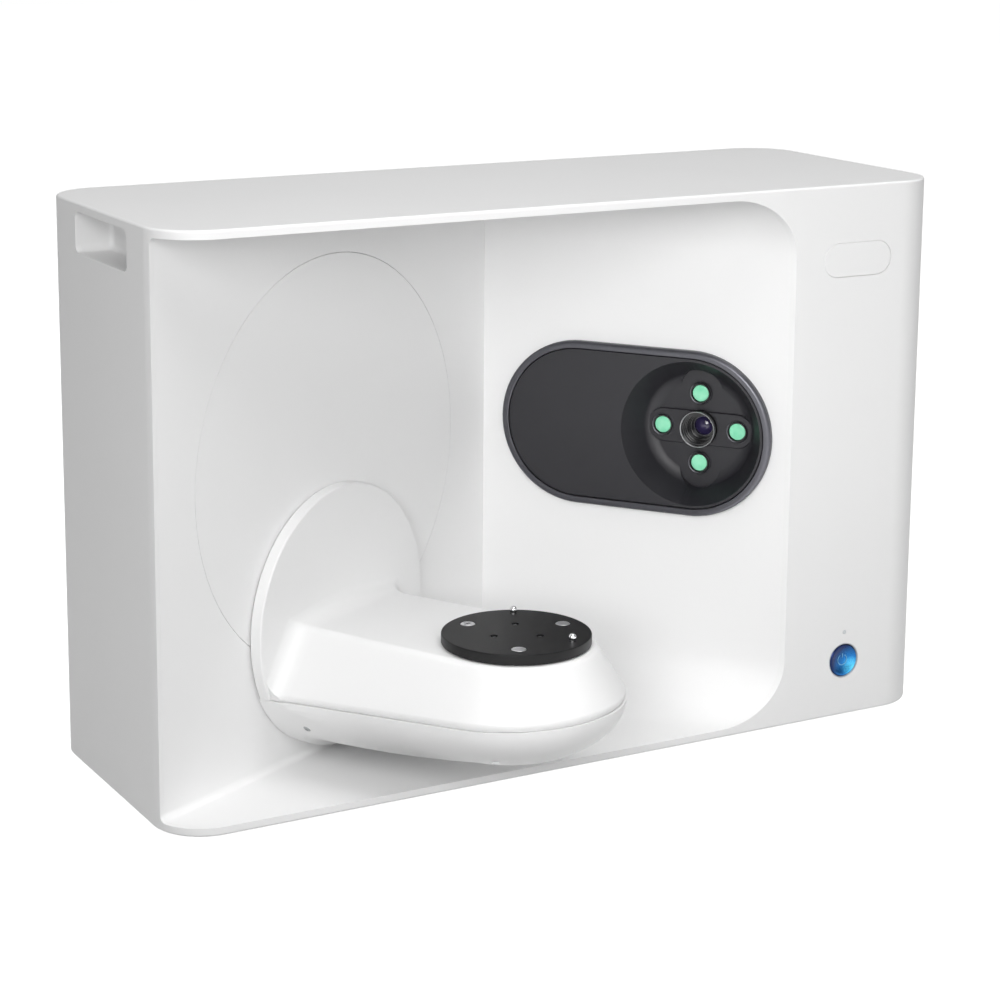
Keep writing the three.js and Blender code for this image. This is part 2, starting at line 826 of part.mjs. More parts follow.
// Main board on standoffs on the rear cover, power supply on the casing floor
function mainBoard() {
  const back = coverSeat - boardStandoff;
  const front0 = back - boardThickness;
  const slab = block(-boardHalfWidth, boardHalfWidth, front0, back, -boardHalfHeight, boardHalfHeight);
  const inset = 2 * boardStandoffRadius;
  const pieces = [slab];
  for (const x of [-boardHalfWidth + inset, boardHalfWidth - inset]) {
    for (const z of [-boardHalfHeight + inset, boardHalfHeight - inset]) {
      pieces.push(drum(boardStandoffRadius, front0, coverSeat, x, z, roundSmall));
    }
  }
  const quarter = boardHalfWidth / 4;
  for (const i of [-2, 0, 2]) {
    pieces.push(block(
      (i - 1 / 2) * quarter, (i + 1 / 2) * quarter, front0 - boardChipHeight, front0,
      -quarter / 2, quarter / 2,
    ));
  }
  return join(...pieces);
}

addPiece(body, 'main_board', mainBoard(), 'board').position.set(bodyWidth - boardFromRight, 0, bodyHeight - boardFromTop);
const supplyX = bodyWidth - supplyFromRight - supplyWidth;
const supplyBack = bodyDepth - inletLength - supplyInletGap;
const supply = block(
  supplyX, supplyX + supplyWidth, supplyBack - supplyDepth, supplyBack,
  casingPlate + fit, casingPlate + fit + supplyHeight,
);
addPiece(body, 'power_supply', supply, 'steel');

// Swing mechanism, in a frame on the left wall: X along the wall, -Y out of it, origin on the swing axis
const swing = new THREE.Group();
swing.position.copy(swingPoint);
swing.rotation.z = leftWallAngle;
body.add(swing);

function gear(teeth, front0, back0, bore, phase = 0) {
  const pitchRadius = gearModule * teeth / 2;
  const root = pitchRadius - dedendumShare * gearModule;
  const tip = pitchRadius + addendumShare * gearModule;
  const step = 2 * Math.PI / teeth;
  const outline = [];
  for (let i = 0; i < teeth; i += 1) {
    const at = (i + phase) * step;
    const corners = [[root, -toothRootShare], [tip, -toothTipShare], [tip, toothTipShare], [root, toothRootShare]];
    for (const [r, share] of corners) {
      outline.push(new THREE.Vector2(r * Math.cos(at + share * step), r * Math.sin(at + share * step)));
    }
  }
  const blank = plate(new THREE.Shape(outline), front0, back0);
  return cut(blank, drum(bore, front0 - overrun, back0 + overrun, 0, 0, roundLens));
}

function motor(side, length, shaftReach) {
  const half = side / 2;
  const can = plate(roundedRect(-half, -half, half, half, handleCornerRadius), 0, length, 0, 2);
  return join(
    can,
    drum(motorPilotRadius, -motorPilotHeight, 0 + overrun),
    drum(motorShaftRadius, -shaftReach, overrun, 0, 0, roundSmall),
  );
}

const pinionRadius = gearModule * pinionTeeth / 2;
const swingGearRadius = gearModule * swingGearTeeth / 2;
const liftGearRadius = gearModule * liftGearTeeth / 2;
const liftMotorUp = liftGearRadius + pinionRadius - liftOffset;
const swingMotorUp = swingGearRadius + pinionRadius;
const swingMotorStart = frameDepth + frameThickness + fit;

function swingDisc() {
  const skin = drum(discRadius, 0, discThickness, 0, 0, roundLarge);
  const rim = ringSolid(discRadius, discRadius - discRimWidth, 0, discRimDepth, 0, 0, roundLarge);
  const hub = drum(hubRadius, 0, hubLength);
  const boss = drum(liftBossRadius, 0, liftBossDepth, 0, -liftOffset);
  return cut(
    join(skin, rim, hub, boss),
    drum(hubBoreRadius, discThickness, hubLength + overrun),
    drum(liftShaftRadius + fit, -overrun, liftBossDepth, 0, -liftOffset),
    drum(liftBearingRadius + fit, discThickness, liftBossDepth + overrun, 0, -liftOffset),
  );
}

addPiece(swing, 'swing_disc', swingDisc(), 'whiteShell');
const swingGear = gear(swingGearTeeth, swingGearStart, swingGearStart + swingGearLength, hubRadius + fit);
addPiece(swing, 'swing_gear', swingGear, 'steel');
const swingBearing = ringSolid(
  swingBearingRadius, hubRadius + fit, swingBearingStart, swingBearingStart + swingBearingLength,
);
addPiece(swing, 'swing_bearing', swingBearing, 'steel');

function swingFrame() {
  const outline = roundedRect(
    -frameHalfWidth, -frameHalfHeight, frameHalfWidth, frameHalfHeight, frameCornerRadius,
  );
  const back0 = frameDepth + frameThickness;
  const pieces = [
    plate(outline, frameDepth, back0),
    drum(frameBossRadius, swingBearingStart, swingBearingStart + swingBearingLength),
  ];
  for (const x of [-framePostOffset, framePostOffset]) {
    for (const z of [-framePostOffset, framePostOffset]) {
      pieces.push(drum(framePostRadius, tubWall + fit, back0, x, z, roundSmall));
    }
  }
  const half = frameWindowSide / 2;
  const tools = [
    drum(swingBearingRadius + fit, 0, swingBearingStart + swingBearingLength + overrun),
    drum(motorPilotRadius + fit, 0, back0 + overrun, 0, swingMotorUp),
  ];
  for (const [x, z] of [[-frameWindowOffset, 0], [frameWindowOffset, 0], [0, -frameWindowOffset]]) {
    tools.push(block(x - half, x + half, frameDepth - overrun, back0 + overrun, z - half, z + half));
  }
  return cut(join(...pieces), ...tools);
}

addPiece(swing, 'swing_frame', swingFrame(), 'steel');
const swingMotor = motor(motorSide, swingMotorLength, swingMotorStart - swingGearStart);
addPiece(swing, 'swing_motor', swingMotor, 'steel').position.set(0, swingMotorStart, swingMotorUp);
const swingPinion = gear(
  pinionTeeth, swingGearStart, swingGearStart + swingGearLength, motorShaftRadius + fit, 1 / 2,
);
addPiece(swing, 'swing_pinion', swingPinion, 'steel').position.z = swingMotorUp;

// Lift drive on the back of the disc: the motor's shaft points away from the disc
const liftMotor = motor(motorSide, liftMotorLength, liftGearStart + liftGearLength - discThickness - fit - liftMotorLength);
liftMotor.rotateZ(Math.PI).translate(0, discThickness + fit + liftMotorLength, liftMotorUp);
addPiece(swing, 'lift_motor', cut(liftMotor), 'steel');
const liftPinion = gear(pinionTeeth, liftGearStart, liftGearStart + liftGearLength, motorShaftRadius + fit, 1 / 2);
addPiece(swing, 'lift_pinion', liftPinion, 'steel').position.z = liftMotorUp;
const liftBearing = ringSolid(
  liftBearingRadius, liftShaftRadius + fit, discThickness + fit, discThickness + fit + liftBearingLength,
);
addPiece(swing, 'lift_bearing', liftBearing, 'steel').position.z = -liftOffset;

// Arm, in a frame on the lift axis: -Y along the arm
const arm = new THREE.Group();
arm.position.z = -liftOffset;
swing.add(arm);

const armRoot = -(flangeGap + flangeThickness);
const armInnerRoot = armRoot - flangeBacking;
const armTip = -(tableAlong + armEndRadius);
const liftGearSeatRadius = (liftShaftRadius + liftShaftBoreRadius) / 2;
const liftShaft = join(
  ringSolid(liftShaftRadius, liftShaftBoreRadius, -liftShaftFrontReach, liftGearStart + liftGearLength + fit),
  gear(liftGearTeeth, liftGearStart, liftGearStart + liftGearLength, liftGearSeatRadius),
);
addPiece(arm, 'lift_shaft', liftShaft, 'steel');

// Height of the parting plane between the two arm shells, which rises towards the tip
function partingHeight(y) {
  const share = (y - armRoot) / (armTip - armRoot);
  return THREE.MathUtils.lerp(-partingRootDrop, -partingTipDrop, share);
}

// Half width of the arm at the parting plane: straight sides, then a round end about the turntable axis
function armHalfWidth(y, inset) {
  const past = -tableAlong - y;
  if (past <= 0) {
    const share = (y - armRoot) / (-tableAlong - armRoot);
    return THREE.MathUtils.lerp(armRootHalfWidth, armEndRadius, share) - inset;
  }
  return Math.sqrt(Math.max((armEndRadius - inset) ** 2 - past ** 2, 0));
}

// Outline of the arm seen from above at the given level, from the root round the end and back
function armOutline(halfWidth, endRadius, height, start, steps = 20) {
  const points = [new THREE.Vector3(halfWidth, start, 0)];
  for (let i = 0; i <= steps; i += 1) {
    const angle = -Math.PI * i / steps;
    points.push(new THREE.Vector3(endRadius * Math.cos(angle), -tableAlong + endRadius * Math.sin(angle), 0));
  }
  points.push(new THREE.Vector3(-halfWidth, start, 0));
  for (const point of points) {
    point.z = height(point.y);
  }
  return points;
}

function upperHull(inset, start, drop) {
  const sink = (y) => partingHeight(y) - drop;
  const under = armOutline(armRootHalfWidth - inset, armEndRadius - inset, sink, start);
  const top = armOutline(armTopHalfWidth - inset, armTopEndRadius - inset, () => armTop - inset, start);
  return loft([under, top]);
}

// Bowl sections across the arm: half ellipses hanging from the parting plane
const bowlSteps = 16;

function bowlDepth(y, inset) {
  const past = -tableAlong - y;
  if (past > 0) {
    const r = armEndRadius - inset;
    return (bowlEndDepth - inset) * Math.sqrt(Math.max(1 - (past / r) ** 2, 0));
  }
  const share = (y - armRoot) / (-tableAlong - armRoot);
  const swell = (bowlMidDepth - (bowlRootDepth + bowlEndDepth) / 2) * 4 * share * (1 - share);
  return THREE.MathUtils.lerp(bowlRootDepth, bowlEndDepth, share) + swell - inset;
}

function bowlSection(y, inset, rise) {
  const half = armHalfWidth(y, inset);
  const depth = bowlDepth(y, inset);
  const level = partingHeight(y);
  const points = [];
  for (let i = 0; i <= bowlSteps; i += 1) {
    const angle = Math.PI * i / bowlSteps;
    points.push(new THREE.Vector3(half * Math.cos(angle), y, level - depth * Math.sin(angle)));
  }
  points.push(new THREE.Vector3(-half, y, level + rise), new THREE.Vector3(half, y, level + rise));
  return points;
}

function bowl(inset, start, rise) {
  const stations = [start];
  const straightSteps = 4;
  for (let i = 1; i <= straightSteps; i += 1) {
    stations.push(THREE.MathUtils.lerp(start, -tableAlong, i / straightSteps));
  }
  const endSteps = 8;
  const nearlyRound = 0.995;
  for (let i = 1; i <= endSteps; i += 1) {
    const angle = Math.PI / 2 * i / endSteps * nearlyRound;
    stations.push(-tableAlong - (armEndRadius - inset) * Math.sin(angle));
  }
  return loft(stations.map((y) => bowlSection(y, inset, rise)));
}

// Everything above, or below, the parting plane, kept a seam away from it
function halfSpace(above) {
  const reach = flangeRadius + tableAlong;
  const seam = above ? fit / 2 : -fit / 2;
  const far = above ? reach : -reach;
  const [y0, y1] = [reach, armTip - reach];
  const section = new THREE.Shape([
    new THREE.Vector2(y0, partingHeight(y0) + seam),
    new THREE.Vector2(y0, far),
    new THREE.Vector2(y1, far),
    new THREE.Vector2(y1, partingHeight(y1) + seam),
  ]);
  return beam(section, -reach, reach);
}

const flange = plate(stadium(0, flangeRadius), armRoot, -flangeGap, flangeEdgeRadius, diskSteps * 2);
const shaftSocket = drum(liftShaftRadius + fit, -liftShaftFrontReach - fit, overrun);

function upperShell() {
  const outer = join(upperHull(0, armRoot + overrun, 0), common(flange, halfSpace(true)));
  const inner = upperHull(armShellWall, armInnerRoot, overrun);
  const spindleHole = pillar(shellSpindleHoleRadius, -armTop, armTop + overrun, 0, -tableAlong);
  return common(cut(outer, inner, shaftSocket, spindleHole), halfSpace(true));
}

addPiece(arm, 'arm_upper_shell', upperShell(), 'whiteShell');

// The lower shell stays inside the flange's circle, so that the whole arm clears the floor as it turns.
// Two screw wells go through its underside.
function lowerShell() {
  const places = [
    [-armRootHalfWidth + screwWellSideInset, armRoot - screwWellRootInset],
    [-armEndRadius + screwWellSideInset * 2, -tableAlong - armEndRadius / 2],
  ];
  const wells = places.map(([x, y]) => pillar(
    screwWellRadius, -flangeRadius, partingHeight(y) - armShellWall, x, y, roundSmall,
  ));
  const turningRoom = plate(stadium(0, flangeRadius), armTip - overrun, -flangeGap, flangeEdgeRadius, diskSteps * 2);
  const outer = common(bowl(0, -flangeGap, overrun), turningRoom);
  const inner = bowl(armShellWall, armInnerRoot, 2 * overrun);
  return common(cut(outer, inner, shaftSocket, ...wells), halfSpace(false));
}

addPiece(arm, 'arm_lower_shell', lowerShell(), 'whiteShell');

// Aluminium beam inside the arm, bolted to the flange and carrying the turntable drive
const beamTop = -beamDrop;
const beamBottom = beamTop - beamThickness;
const bearingBottom = beamBottom - (tableBearingLength - beamThickness) / 2;

function armBeam() {
  const start = armInnerRoot - fit;
  const bar = block(
    -beamHalfWidth, beamHalfWidth, -tableAlong - beamEndReach, start, beamBottom, beamTop,
  );
  const root = block(
    -beamFootHalfWidth, beamFootHalfWidth, start - beamThickness, start, beamTop - beamFootHeight, beamTop,
  );
  const seat = pillar(tableBearingRadius + fit, beamBottom - overrun, beamTop + overrun, 0, -tableAlong);
  return cut(join(bar, root), seat);
}

addPiece(arm, 'arm_beam', armBeam(), 'aluminium');

const table = new THREE.Group();
table.position.set(0, -tableAlong, 0);
arm.add(table);
const bearingTop = bearingBottom + tableBearingLength;
const tableBearing = cut(
  pillar(tableBearingRadius, bearingBottom, bearingTop),
  pillar(spindleRadius + fit, bearingBottom - overrun, bearingTop + overrun),
);
addPiece(table, 'table_bearing', tableBearing, 'steel');

const tableBottom = armTop + tableLift;
const tableTop = tableBottom + tableThickness;
const tableMotorTop = tableBottom - spindleLength - fit;
const motorHalf = tableMotorSide / 2;
const tableMotorSolid = join(
  column(
    roundedRect(-motorHalf, -motorHalf, motorHalf, motorHalf, handleCornerRadius),
    tableMotorTop - tableMotorLength, tableMotorTop,
  ),
  pillar(motorShaftRadius, tableMotorTop - overrun, beamTop, 0, 0, roundSmall),
);
addPiece(table, 'table_motor', tableMotorSolid, 'steel');

// Turntable with three tapped holes, three bright inserts and two ball-headed pins, each set a third of a turn apart
const third = 2 * Math.PI / 3;
const pinStartAngle = THREE.MathUtils.degToRad(36.5);
const insertStartAngle = THREE.MathUtils.degToRad(96);

function around(radius, start, i) {
  const angle = start + i * third;
  return [radius * Math.cos(angle), radius * Math.sin(angle)];
}

function turntable() {
  const disc = column(stadium(0, tableRadius), tableBottom, tableTop, tableEdgeRadius, diskSteps);
  const spindle = pillar(spindleRadius, tableBottom - spindleLength, tableBottom + overrun);
  const bore = pillar(spindleBoreRadius, tableBottom - spindleLength - overrun, tableBottom, 0, 0, roundSmall);
  const tools = [bore];
  for (let i = 0; i < 3; i += 1) {
    const [x, y] = around(tableHoleCircleRadius, pinStartAngle, i);
    tools.push(pillar(tableHoleRadius, tableTop - tableHoleDepth, tableTop + overrun, x, y, roundSmall));
    const [u, v] = around(insertCircleRadius, insertStartAngle, i);
    tools.push(pillar(insertRadius + fit, tableTop - insertThickness - fit, tableTop + overrun, u, v, roundSmall));
  }
  for (let i = -1; i < 1; i += 1) {
    const [x, y] = around(pinCircleRadius, pinStartAngle, i);
    tools.push(pillar(pinRadius + fit, tableTop - pinSocketDepth, tableTop + overrun, x, y, roundSmall));
  }
  return cut(join(disc, spindle), ...tools);
}

addPiece(table, 'turntable', turntable(), 'blackPlastic');

function locatingPin() {
  const shank = pillar(pinRadius, fit - pinSocketDepth, pinHeight, 0, 0, roundSmall);
  const ball = new THREE.SphereGeometry(pinBallRadius, 12, 8).translate(0, 0, pinHeight);
  return join(shank, ball);
}

['locating_pin_a', 'locating_pin_b'].forEach((name, i) => {
  const [x, y] = around(pinCircleRadius, pinStartAngle, -i);
  addPiece(table, name, locatingPin(), 'chrome').position.set(x, y, tableTop);
});
['table_insert_a', 'table_insert_b', 'table_insert_c'].forEach((name, i) => {
  const [x, y] = around(insertCircleRadius, insertStartAngle, i);
  const insert = pillar(insertRadius, tableTop - insertThickness, tableTop, 0, 0, roundSmall);
  addPiece(table, name, insert, 'chrome').position.set(x, y, 0);
});

// Camera pod, in a frame on the right wall: X along the wall, -Y out of it, origin at the pod's middle
const pod = new THREE.Group();
pod.position.copy(podPoint);
pod.rotation.z = rightWallAngle;
body.add(pod);

const faceFront = podFaceInset - podStandout;
const floorLevel = faceFront + dishDepth;

function podRim() {
  const rim = plate(stadium(podHalfStraight, podRadius), -podStandout, -fit, podEdgeRadius, podSegments);
  const tube = plate(stadium(podHalfStraight, podTubeRadius), -podEdgeRadius, podTubeDepth, 0, podSegments);
  const bore = stadium(podHalfStraight, podInnerRadius);
  return cut(join(rim, tube), plate(bore, -podStandout - overrun, podTubeDepth + overrun, 0, podSegments));
}

addPiece(pod, 'pod_rim', podRim(), 'rimMetal');

const cameraPlaces = {
  top: [0, cameraUp],
  bottom: [0, -cameraUp],
  left: [-cameraSide, 0],
  right: [cameraSide, 0],
};

function upright(halfStraight, r) {
  const shape = new THREE.Shape();
  shape.absarc(0, halfStraight, r, 0, Math.PI);
  shape.absarc(0, -halfStraight, r, Math.PI, 2 * Math.PI);
  return shape;
}

function podFace() {
  const slab = plate(
    stadium(podHalfStraight, podInnerRadius - fit), faceFront, faceFront + podFaceThickness, 0, podSegments,
  );
  const blockBack = floorLevel + dishFloorThickness;
  const backing = drum(podInnerRadius - fit, faceFront, blockBack, podHalfStraight, 0);
  const rimRadius = dishRimRadius + overrun * (dishRimRadius - dishFloorRadius) / dishDepth;
  const dish = new THREE.CylinderGeometry(dishFloorRadius, rimRadius, dishDepth + overrun, round);
  dish.translate(podHalfStraight, (faceFront - overrun + floorLevel) / 2, 0);
  const pocket = plate(upright(pocketHalfStraight, pocketRadius), floorLevel - pocketDepth, floorLevel, 0, broadSteps);
  const band = plate(stadium(bandHalfStraight, bandRadius), floorLevel - bandHeight, floorLevel + overrun / 2, 0, broadSteps);
  const hollow = cut(join(slab, backing), dish, pocket.translate(podHalfStraight, 0, 0));
  const holes = Object.values(cameraPlaces).map(([x, z]) => drum(
    cameraBarrelRadius + fit, faceFront, blockBack + overrun, podHalfStraight + x, z, roundLens,
  ));
  holes.push(drum(projectorRadius + fit, faceFront, blockBack + overrun, podHalfStraight, 0));
  return cut(join(hollow, band.translate(podHalfStraight, 0, 0)), ...holes);
}

addPiece(pod, 'pod_face', podFace(), 'darkPlastic');

const optics = new THREE.Group();
optics.position.set(podHalfStraight, 0, 0);
pod.add(optics);

const bracketBack = bracketStart + bracketThickness;
const bodyStart = bracketBack + fit;
const barrelFront = floorLevel - cameraBarrelStandout;

function cameraModule() {
  const half = cameraBodySide / 2;
  const barrel = drum(cameraBarrelRadius, barrelFront, bodyStart + overrun, 0, 0, roundLens);
  const can = block(-half, half, bodyStart, bodyStart + cameraBodyLength, -half, half);
  const seat = drum(windowRadius + fit, barrelFront - overrun, barrelFront + windowThickness + fit, 0, 0, roundLens);
  return cut(join(barrel, can), seat);
}

for (const [side, [x, z]] of Object.entries(cameraPlaces)) {
  addPiece(optics, 'camera_' + side, cameraModule(), 'blackPlastic').position.set(x, 0, z);
  const glass = drum(windowRadius, barrelFront, barrelFront + windowThickness, 0, 0, roundLens);
  addPiece(optics, 'camera_window_' + side, glass, 'greenGlass').position.set(x, 0, z);
}

function cameraBracket() {
  const outline = roundedRect(
    -bracketSideReach - podHalfStraight, -bracketHalfHeight, bracketSideReach - podHalfStraight + overrun,
    bracketHalfHeight, bracketCornerRadius,
  );
  const pieces = [plate(outline, bracketStart, bracketBack)];
  for (const x of [-bracketPostAlong - podHalfStraight, bracketPostAlong - podHalfStraight]) {
    for (const z of [-bracketPostUp, bracketPostUp]) {
      pieces.push(drum(bracketPostRadius, tubWall + fit, bracketBack, x, z, roundSmall));
    }
  }
  const tools = Object.values(cameraPlaces).map(([x, z]) => drum(
    cameraBarrelRadius + fit, bracketStart - overrun, bracketBack + overrun, x, z, roundLens,
  ));
  tools.push(drum(projectorRadius + fit, bracketStart - overrun, bracketBack + overrun));
  return cut(join(...pieces), ...tools);
}

addPiece(optics, 'camera_bracket', cameraBracket(), 'aluminium');

const engineStart = bodyStart + cameraBodyLength + fit;
const ringFront = floorLevel - projectorStandout;
const projectorFront = ringFront + projectorRingLength + fit;
const stepStart = projectorFront + projectorBoreDepth;
const seatStart = stepStart + projectorStepDepth;
const seatEnd = seatStart + projectorSeatDepth;
const projectorRing = ringSolid(
  projectorRingRadius, projectorRingBoreRadius, ringFront, ringFront + projectorRingLength,
);
addPiece(optics, 'projector_ring', projectorRing, 'chrome');
const projectorBarrel = cut(
  drum(projectorRadius, projectorFront, engineStart - fit),
  drum(projectorBoreRadius, projectorFront - overrun, stepStart),
  drum(projectorStepRadius, projectorFront, seatStart),
  drum(projectorSeatRadius, projectorFront, seatEnd),
);
addPiece(optics, 'projector_barrel', projectorBarrel, 'blackPlastic');
const lensBack = seatEnd - fit;
const lensEdge = lensBack - projectorLensDome * 2;
const projectorLens = spun([
  [0, lensEdge - projectorLensDome],
  [projectorLensRadius * 0.4, lensEdge - projectorLensDome * 0.84],
  [projectorLensRadius * 0.75, lensEdge - projectorLensDome * 0.44],
  [projectorLensRadius, lensEdge],
  [projectorLensRadius, lensBack],
  [0, lensBack],
], roundLens);
addPiece(optics, 'projector_lens', projectorLens, 'lensGlass');
const engineHalf = engineSide / 2;
const engineTop = engineHeight / 2;
const engineEnd = engineStart + engineLength;

function projectorEngine() {
  const outline = roundedRect(-engineHalf, -engineTop, engineHalf, engineTop, handleCornerRadius);
  const pieces = [plate(outline, engineStart, engineEnd, 0, 2)];
  for (let i = 0; i < sinkFins; i += 1) {
    const x = THREE.MathUtils.lerp(-engineHalf, engineHalf - sinkFinThickness, i / (sinkFins - 1));
    pieces.push(block(x, x + sinkFinThickness, engineEnd - sinkRoot, engineEnd + sinkLength, -sinkHalf, sinkHalf));
  }
  return join(...pieces);
}

addPiece(optics, 'projector_engine', projectorEngine(), 'blackPlastic');

// The origin lies under the middle of the whole outline, on the surface that the feet stand on
const part = new THREE.Group();
part.add(body);
part.updateMatrixWorld(true);
const outline = new THREE.Box3().setFromObject(part, true);
const middle = outline.getCenter(new THREE.Vector3());
body.position.set(-middle.x, -middle.y, -outline.min.z);
part.updateMatrixWorld(true);

export default part;
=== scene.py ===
# Desktop 3D scanner: the looks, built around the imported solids, in metres
import math

import bmesh
import bpy
from mathutils import Matrix, Vector


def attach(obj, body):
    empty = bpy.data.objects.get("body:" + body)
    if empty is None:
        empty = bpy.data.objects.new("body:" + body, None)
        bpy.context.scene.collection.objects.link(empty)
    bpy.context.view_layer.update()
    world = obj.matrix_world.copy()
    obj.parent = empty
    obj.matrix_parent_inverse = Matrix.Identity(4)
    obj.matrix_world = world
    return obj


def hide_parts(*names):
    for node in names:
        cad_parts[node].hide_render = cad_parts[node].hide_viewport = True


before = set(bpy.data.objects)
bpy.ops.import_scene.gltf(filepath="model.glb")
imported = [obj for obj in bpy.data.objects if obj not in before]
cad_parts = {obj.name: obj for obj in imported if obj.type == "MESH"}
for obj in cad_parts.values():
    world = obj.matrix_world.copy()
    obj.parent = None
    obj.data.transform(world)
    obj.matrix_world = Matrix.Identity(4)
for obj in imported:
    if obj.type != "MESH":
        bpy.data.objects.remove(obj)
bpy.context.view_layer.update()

# Camera, from above the left front corner with a long lens, at the photograph's viewing angle.
# Yaw turns it to the right of straight ahead, pitch tips it down, and roll levels the desk line.
yaw = math.radians(29.39)
pitch = math.radians(11.27)
roll = math.radians(0.46)
ahead = Vector((math.sin(yaw) * math.cos(pitch), math.cos(yaw) * math.cos(pitch), -math.sin(pitch)))
level = Vector((math.cos(yaw), -math.sin(yaw), 0))
above = level.cross(ahead)
across = level * math.cos(roll) + above * math.sin(roll)
upright = above * math.cos(roll) - level * math.sin(roll)
camera_turn = Matrix((across, upright, -ahead)).transposed().to_4x4()
camera_data = bpy.data.cameras.new("camera")
camera_data.sensor_width = 36
camera_data.lens = 90.83
camera_data.shift_y = -0.15
camera_data.clip_end = 30
camera = bpy.data.objects.new("camera", camera_data)
bpy.context.scene.collection.objects.link(camera)
camera.matrix_world = Matrix.Translation((-0.7255, -1.2395, 0.534)) @ camera_turn
bpy.context.scene.camera = camera


# Outer casing: one ABS wrap with round corners, painted satin white over a fine moulded texture.
# The scanning bay, the handle windows and the recesses are cut into it, and every edge is eased.
def linear(hex_value):
    """Turns an sRGB hex value to a linear colour."""
    channels = [int(hex_value[i : i + 2], 16) / 255 for i in (1, 3, 5)]
    return [c / 12.92 if c <= 0.04045 else ((c + 0.055) / 1.055) ** 2.4 for c in channels] + [1]


def add_node(tree, kind, inputs=None, **settings):
    """Adds a node with its settings, its values and the links into it."""
    node = tree.nodes.new(kind)
    for key, value in settings.items():
        setattr(node, key, value)
    for key, value in (inputs or {}).items():
        if isinstance(value, bpy.types.NodeSocket):
            tree.links.new(value, node.inputs[key])
        else:
            node.inputs[key].default_value = value
    return node


def new_material(name):
    material = bpy.data.materials.new(name)
    material.use_nodes = True
    material.node_tree.nodes.clear()
    return material, material.node_tree


def close_material(tree, shader):
    add_node(tree, "ShaderNodeOutputMaterial", {"Surface": shader.outputs[0]})


# Grain, in metres, is the size of one hollow of the texture; drift is how far the colour wanders
def moulded(name, colour, darker, rough, grain, depth, drift=0.09, index=1.53):
    material, tree = new_material(name)
    place = add_node(tree, "ShaderNodeTexCoord").outputs["Object"]
    broad = add_node(tree, "ShaderNodeTexNoise", {"Vector": place, "Scale": 1 / drift, "Detail": 2.0})
    fine = add_node(tree, "ShaderNodeTexNoise", {"Vector": place, "Scale": 1 / grain, "Detail": 3.0})
    tone = add_node(
        tree,
        "ShaderNodeMix",
        {"Factor": broad.outputs["Fac"], "A": linear(darker), "B": linear(colour)},
        data_type="RGBA",
    )
    gloss = add_node(
        tree,
        "ShaderNodeMapRange",
        {"Value": fine.outputs["Fac"], "To Min": rough - 0.05, "To Max": rough + 0.05},
    )
    bump = add_node(
        tree, "ShaderNodeBump", {"Height": fine.outputs["Fac"], "Strength": depth, "Distance": grain / 4}
    )
    shader = add_node(
        tree,
        "ShaderNodeBsdfPrincipled",
        {
            "Base Color": tone.outputs["Result"],
            "Roughness": gloss.outputs["Result"],
            "Normal": bump.outputs["Normal"],
            "IOR": index,
        },
    )
    close_material(tree, shader)
    return material


# Satin white ABS spreads each highlight into a soft sheen with a faint grain in it.
# The real texture is about 0.1 mm and would not show, so its grain is drawn at 0.6 mm.
white_abs = moulded("satin_white_abs", "#ededed", "#eaeaea", 0.46, 0.0006, 0.1)

# Local places are measured from the casing's left front lower corner
corner = Vector((-0.2525, -0.04949, 0.010))
to_world = Matrix.Translation(corner)
width, depth, height = 0.505, 0.185, 0.330
wall = 0.003
plate_wall = 0.0022
back_wall = 0.0055
corner_round = 0.030

# Pieces that fit into each other stay this far apart, so that their faces don't lie on each other
clearance = 0.00005

# Corners of a mesh that are closer together than weld are one, and one within a hair of a plane lies on it
weld = 2e-6
hair = 1e-6


def verts_of(made):
    return [v for v in made["geom"] if isinstance(v, bmesh.types.BMVert)]


def edges_of(made, key="geom"):
    return [e for e in made[key] if isinstance(e, bmesh.types.BMEdge)]


def face_out(shape):
    bmesh.ops.remove_doubles(shape, verts=shape.verts, dist=weld)
    bmesh.ops.recalc_face_normals(shape, faces=shape.faces)
    return shape


def round_block(low, high, radius, steps=8):
    """Upright block between two corners, with its four upright edges rounded."""
    shape = bmesh.new()
    bmesh.ops.create_grid(shape, x_segments=1, y_segments=1, size=0.5)
    bmesh.ops.scale(shape, vec=(high[0] - low[0], high[1] - low[1], 1), verts=shape.verts)
    middle = ((low[0] + high[0]) / 2, (low[1] + high[1]) / 2, low[2])
    bmesh.ops.translate(shape, vec=middle, verts=shape.verts)
    if radius:
        bmesh.ops.bevel(
            shape,
            geom=shape.verts[:],
            offset=radius,
            offset_type="OFFSET",
            segments=steps,
            profile=0.5,
            affect="VERTICES",
            material=-1,
        )
    raised = bmesh.ops.extrude_face_region(shape, geom=shape.faces[:])
    bmesh.ops.translate(shape, vec=(0, 0, high[2] - low[2]), verts=verts_of(raised))
    return face_out(shape)


def moved(shape, matrix):
    bmesh.ops.transform(shape, matrix=matrix, verts=shape.verts)
    return shape


def along_x(low, high, radius, steps=8):
    """Block between two corners, with its four edges that run along X rounded."""
    shape = round_block((low[1], low[2], low[0]), (high[1], high[2], high[0]), radius, steps)
    turn = Matrix(((0, 0, 1, 0), (1, 0, 0, 0), (0, 1, 0, 0), (0, 0, 0, 1)))
    return moved(shape, turn)


def along_y(low, high, radius, steps=8):
    """Block between two corners, with its four edges that run along Y rounded."""
    shape = round_block((low[2], low[0], low[1]), (high[2], high[0], high[1]), radius, steps)
    turn = Matrix(((0, 1, 0, 0), (0, 0, 1, 0), (1, 0, 0, 0), (0, 0, 0, 1)))
    return moved(shape, turn)


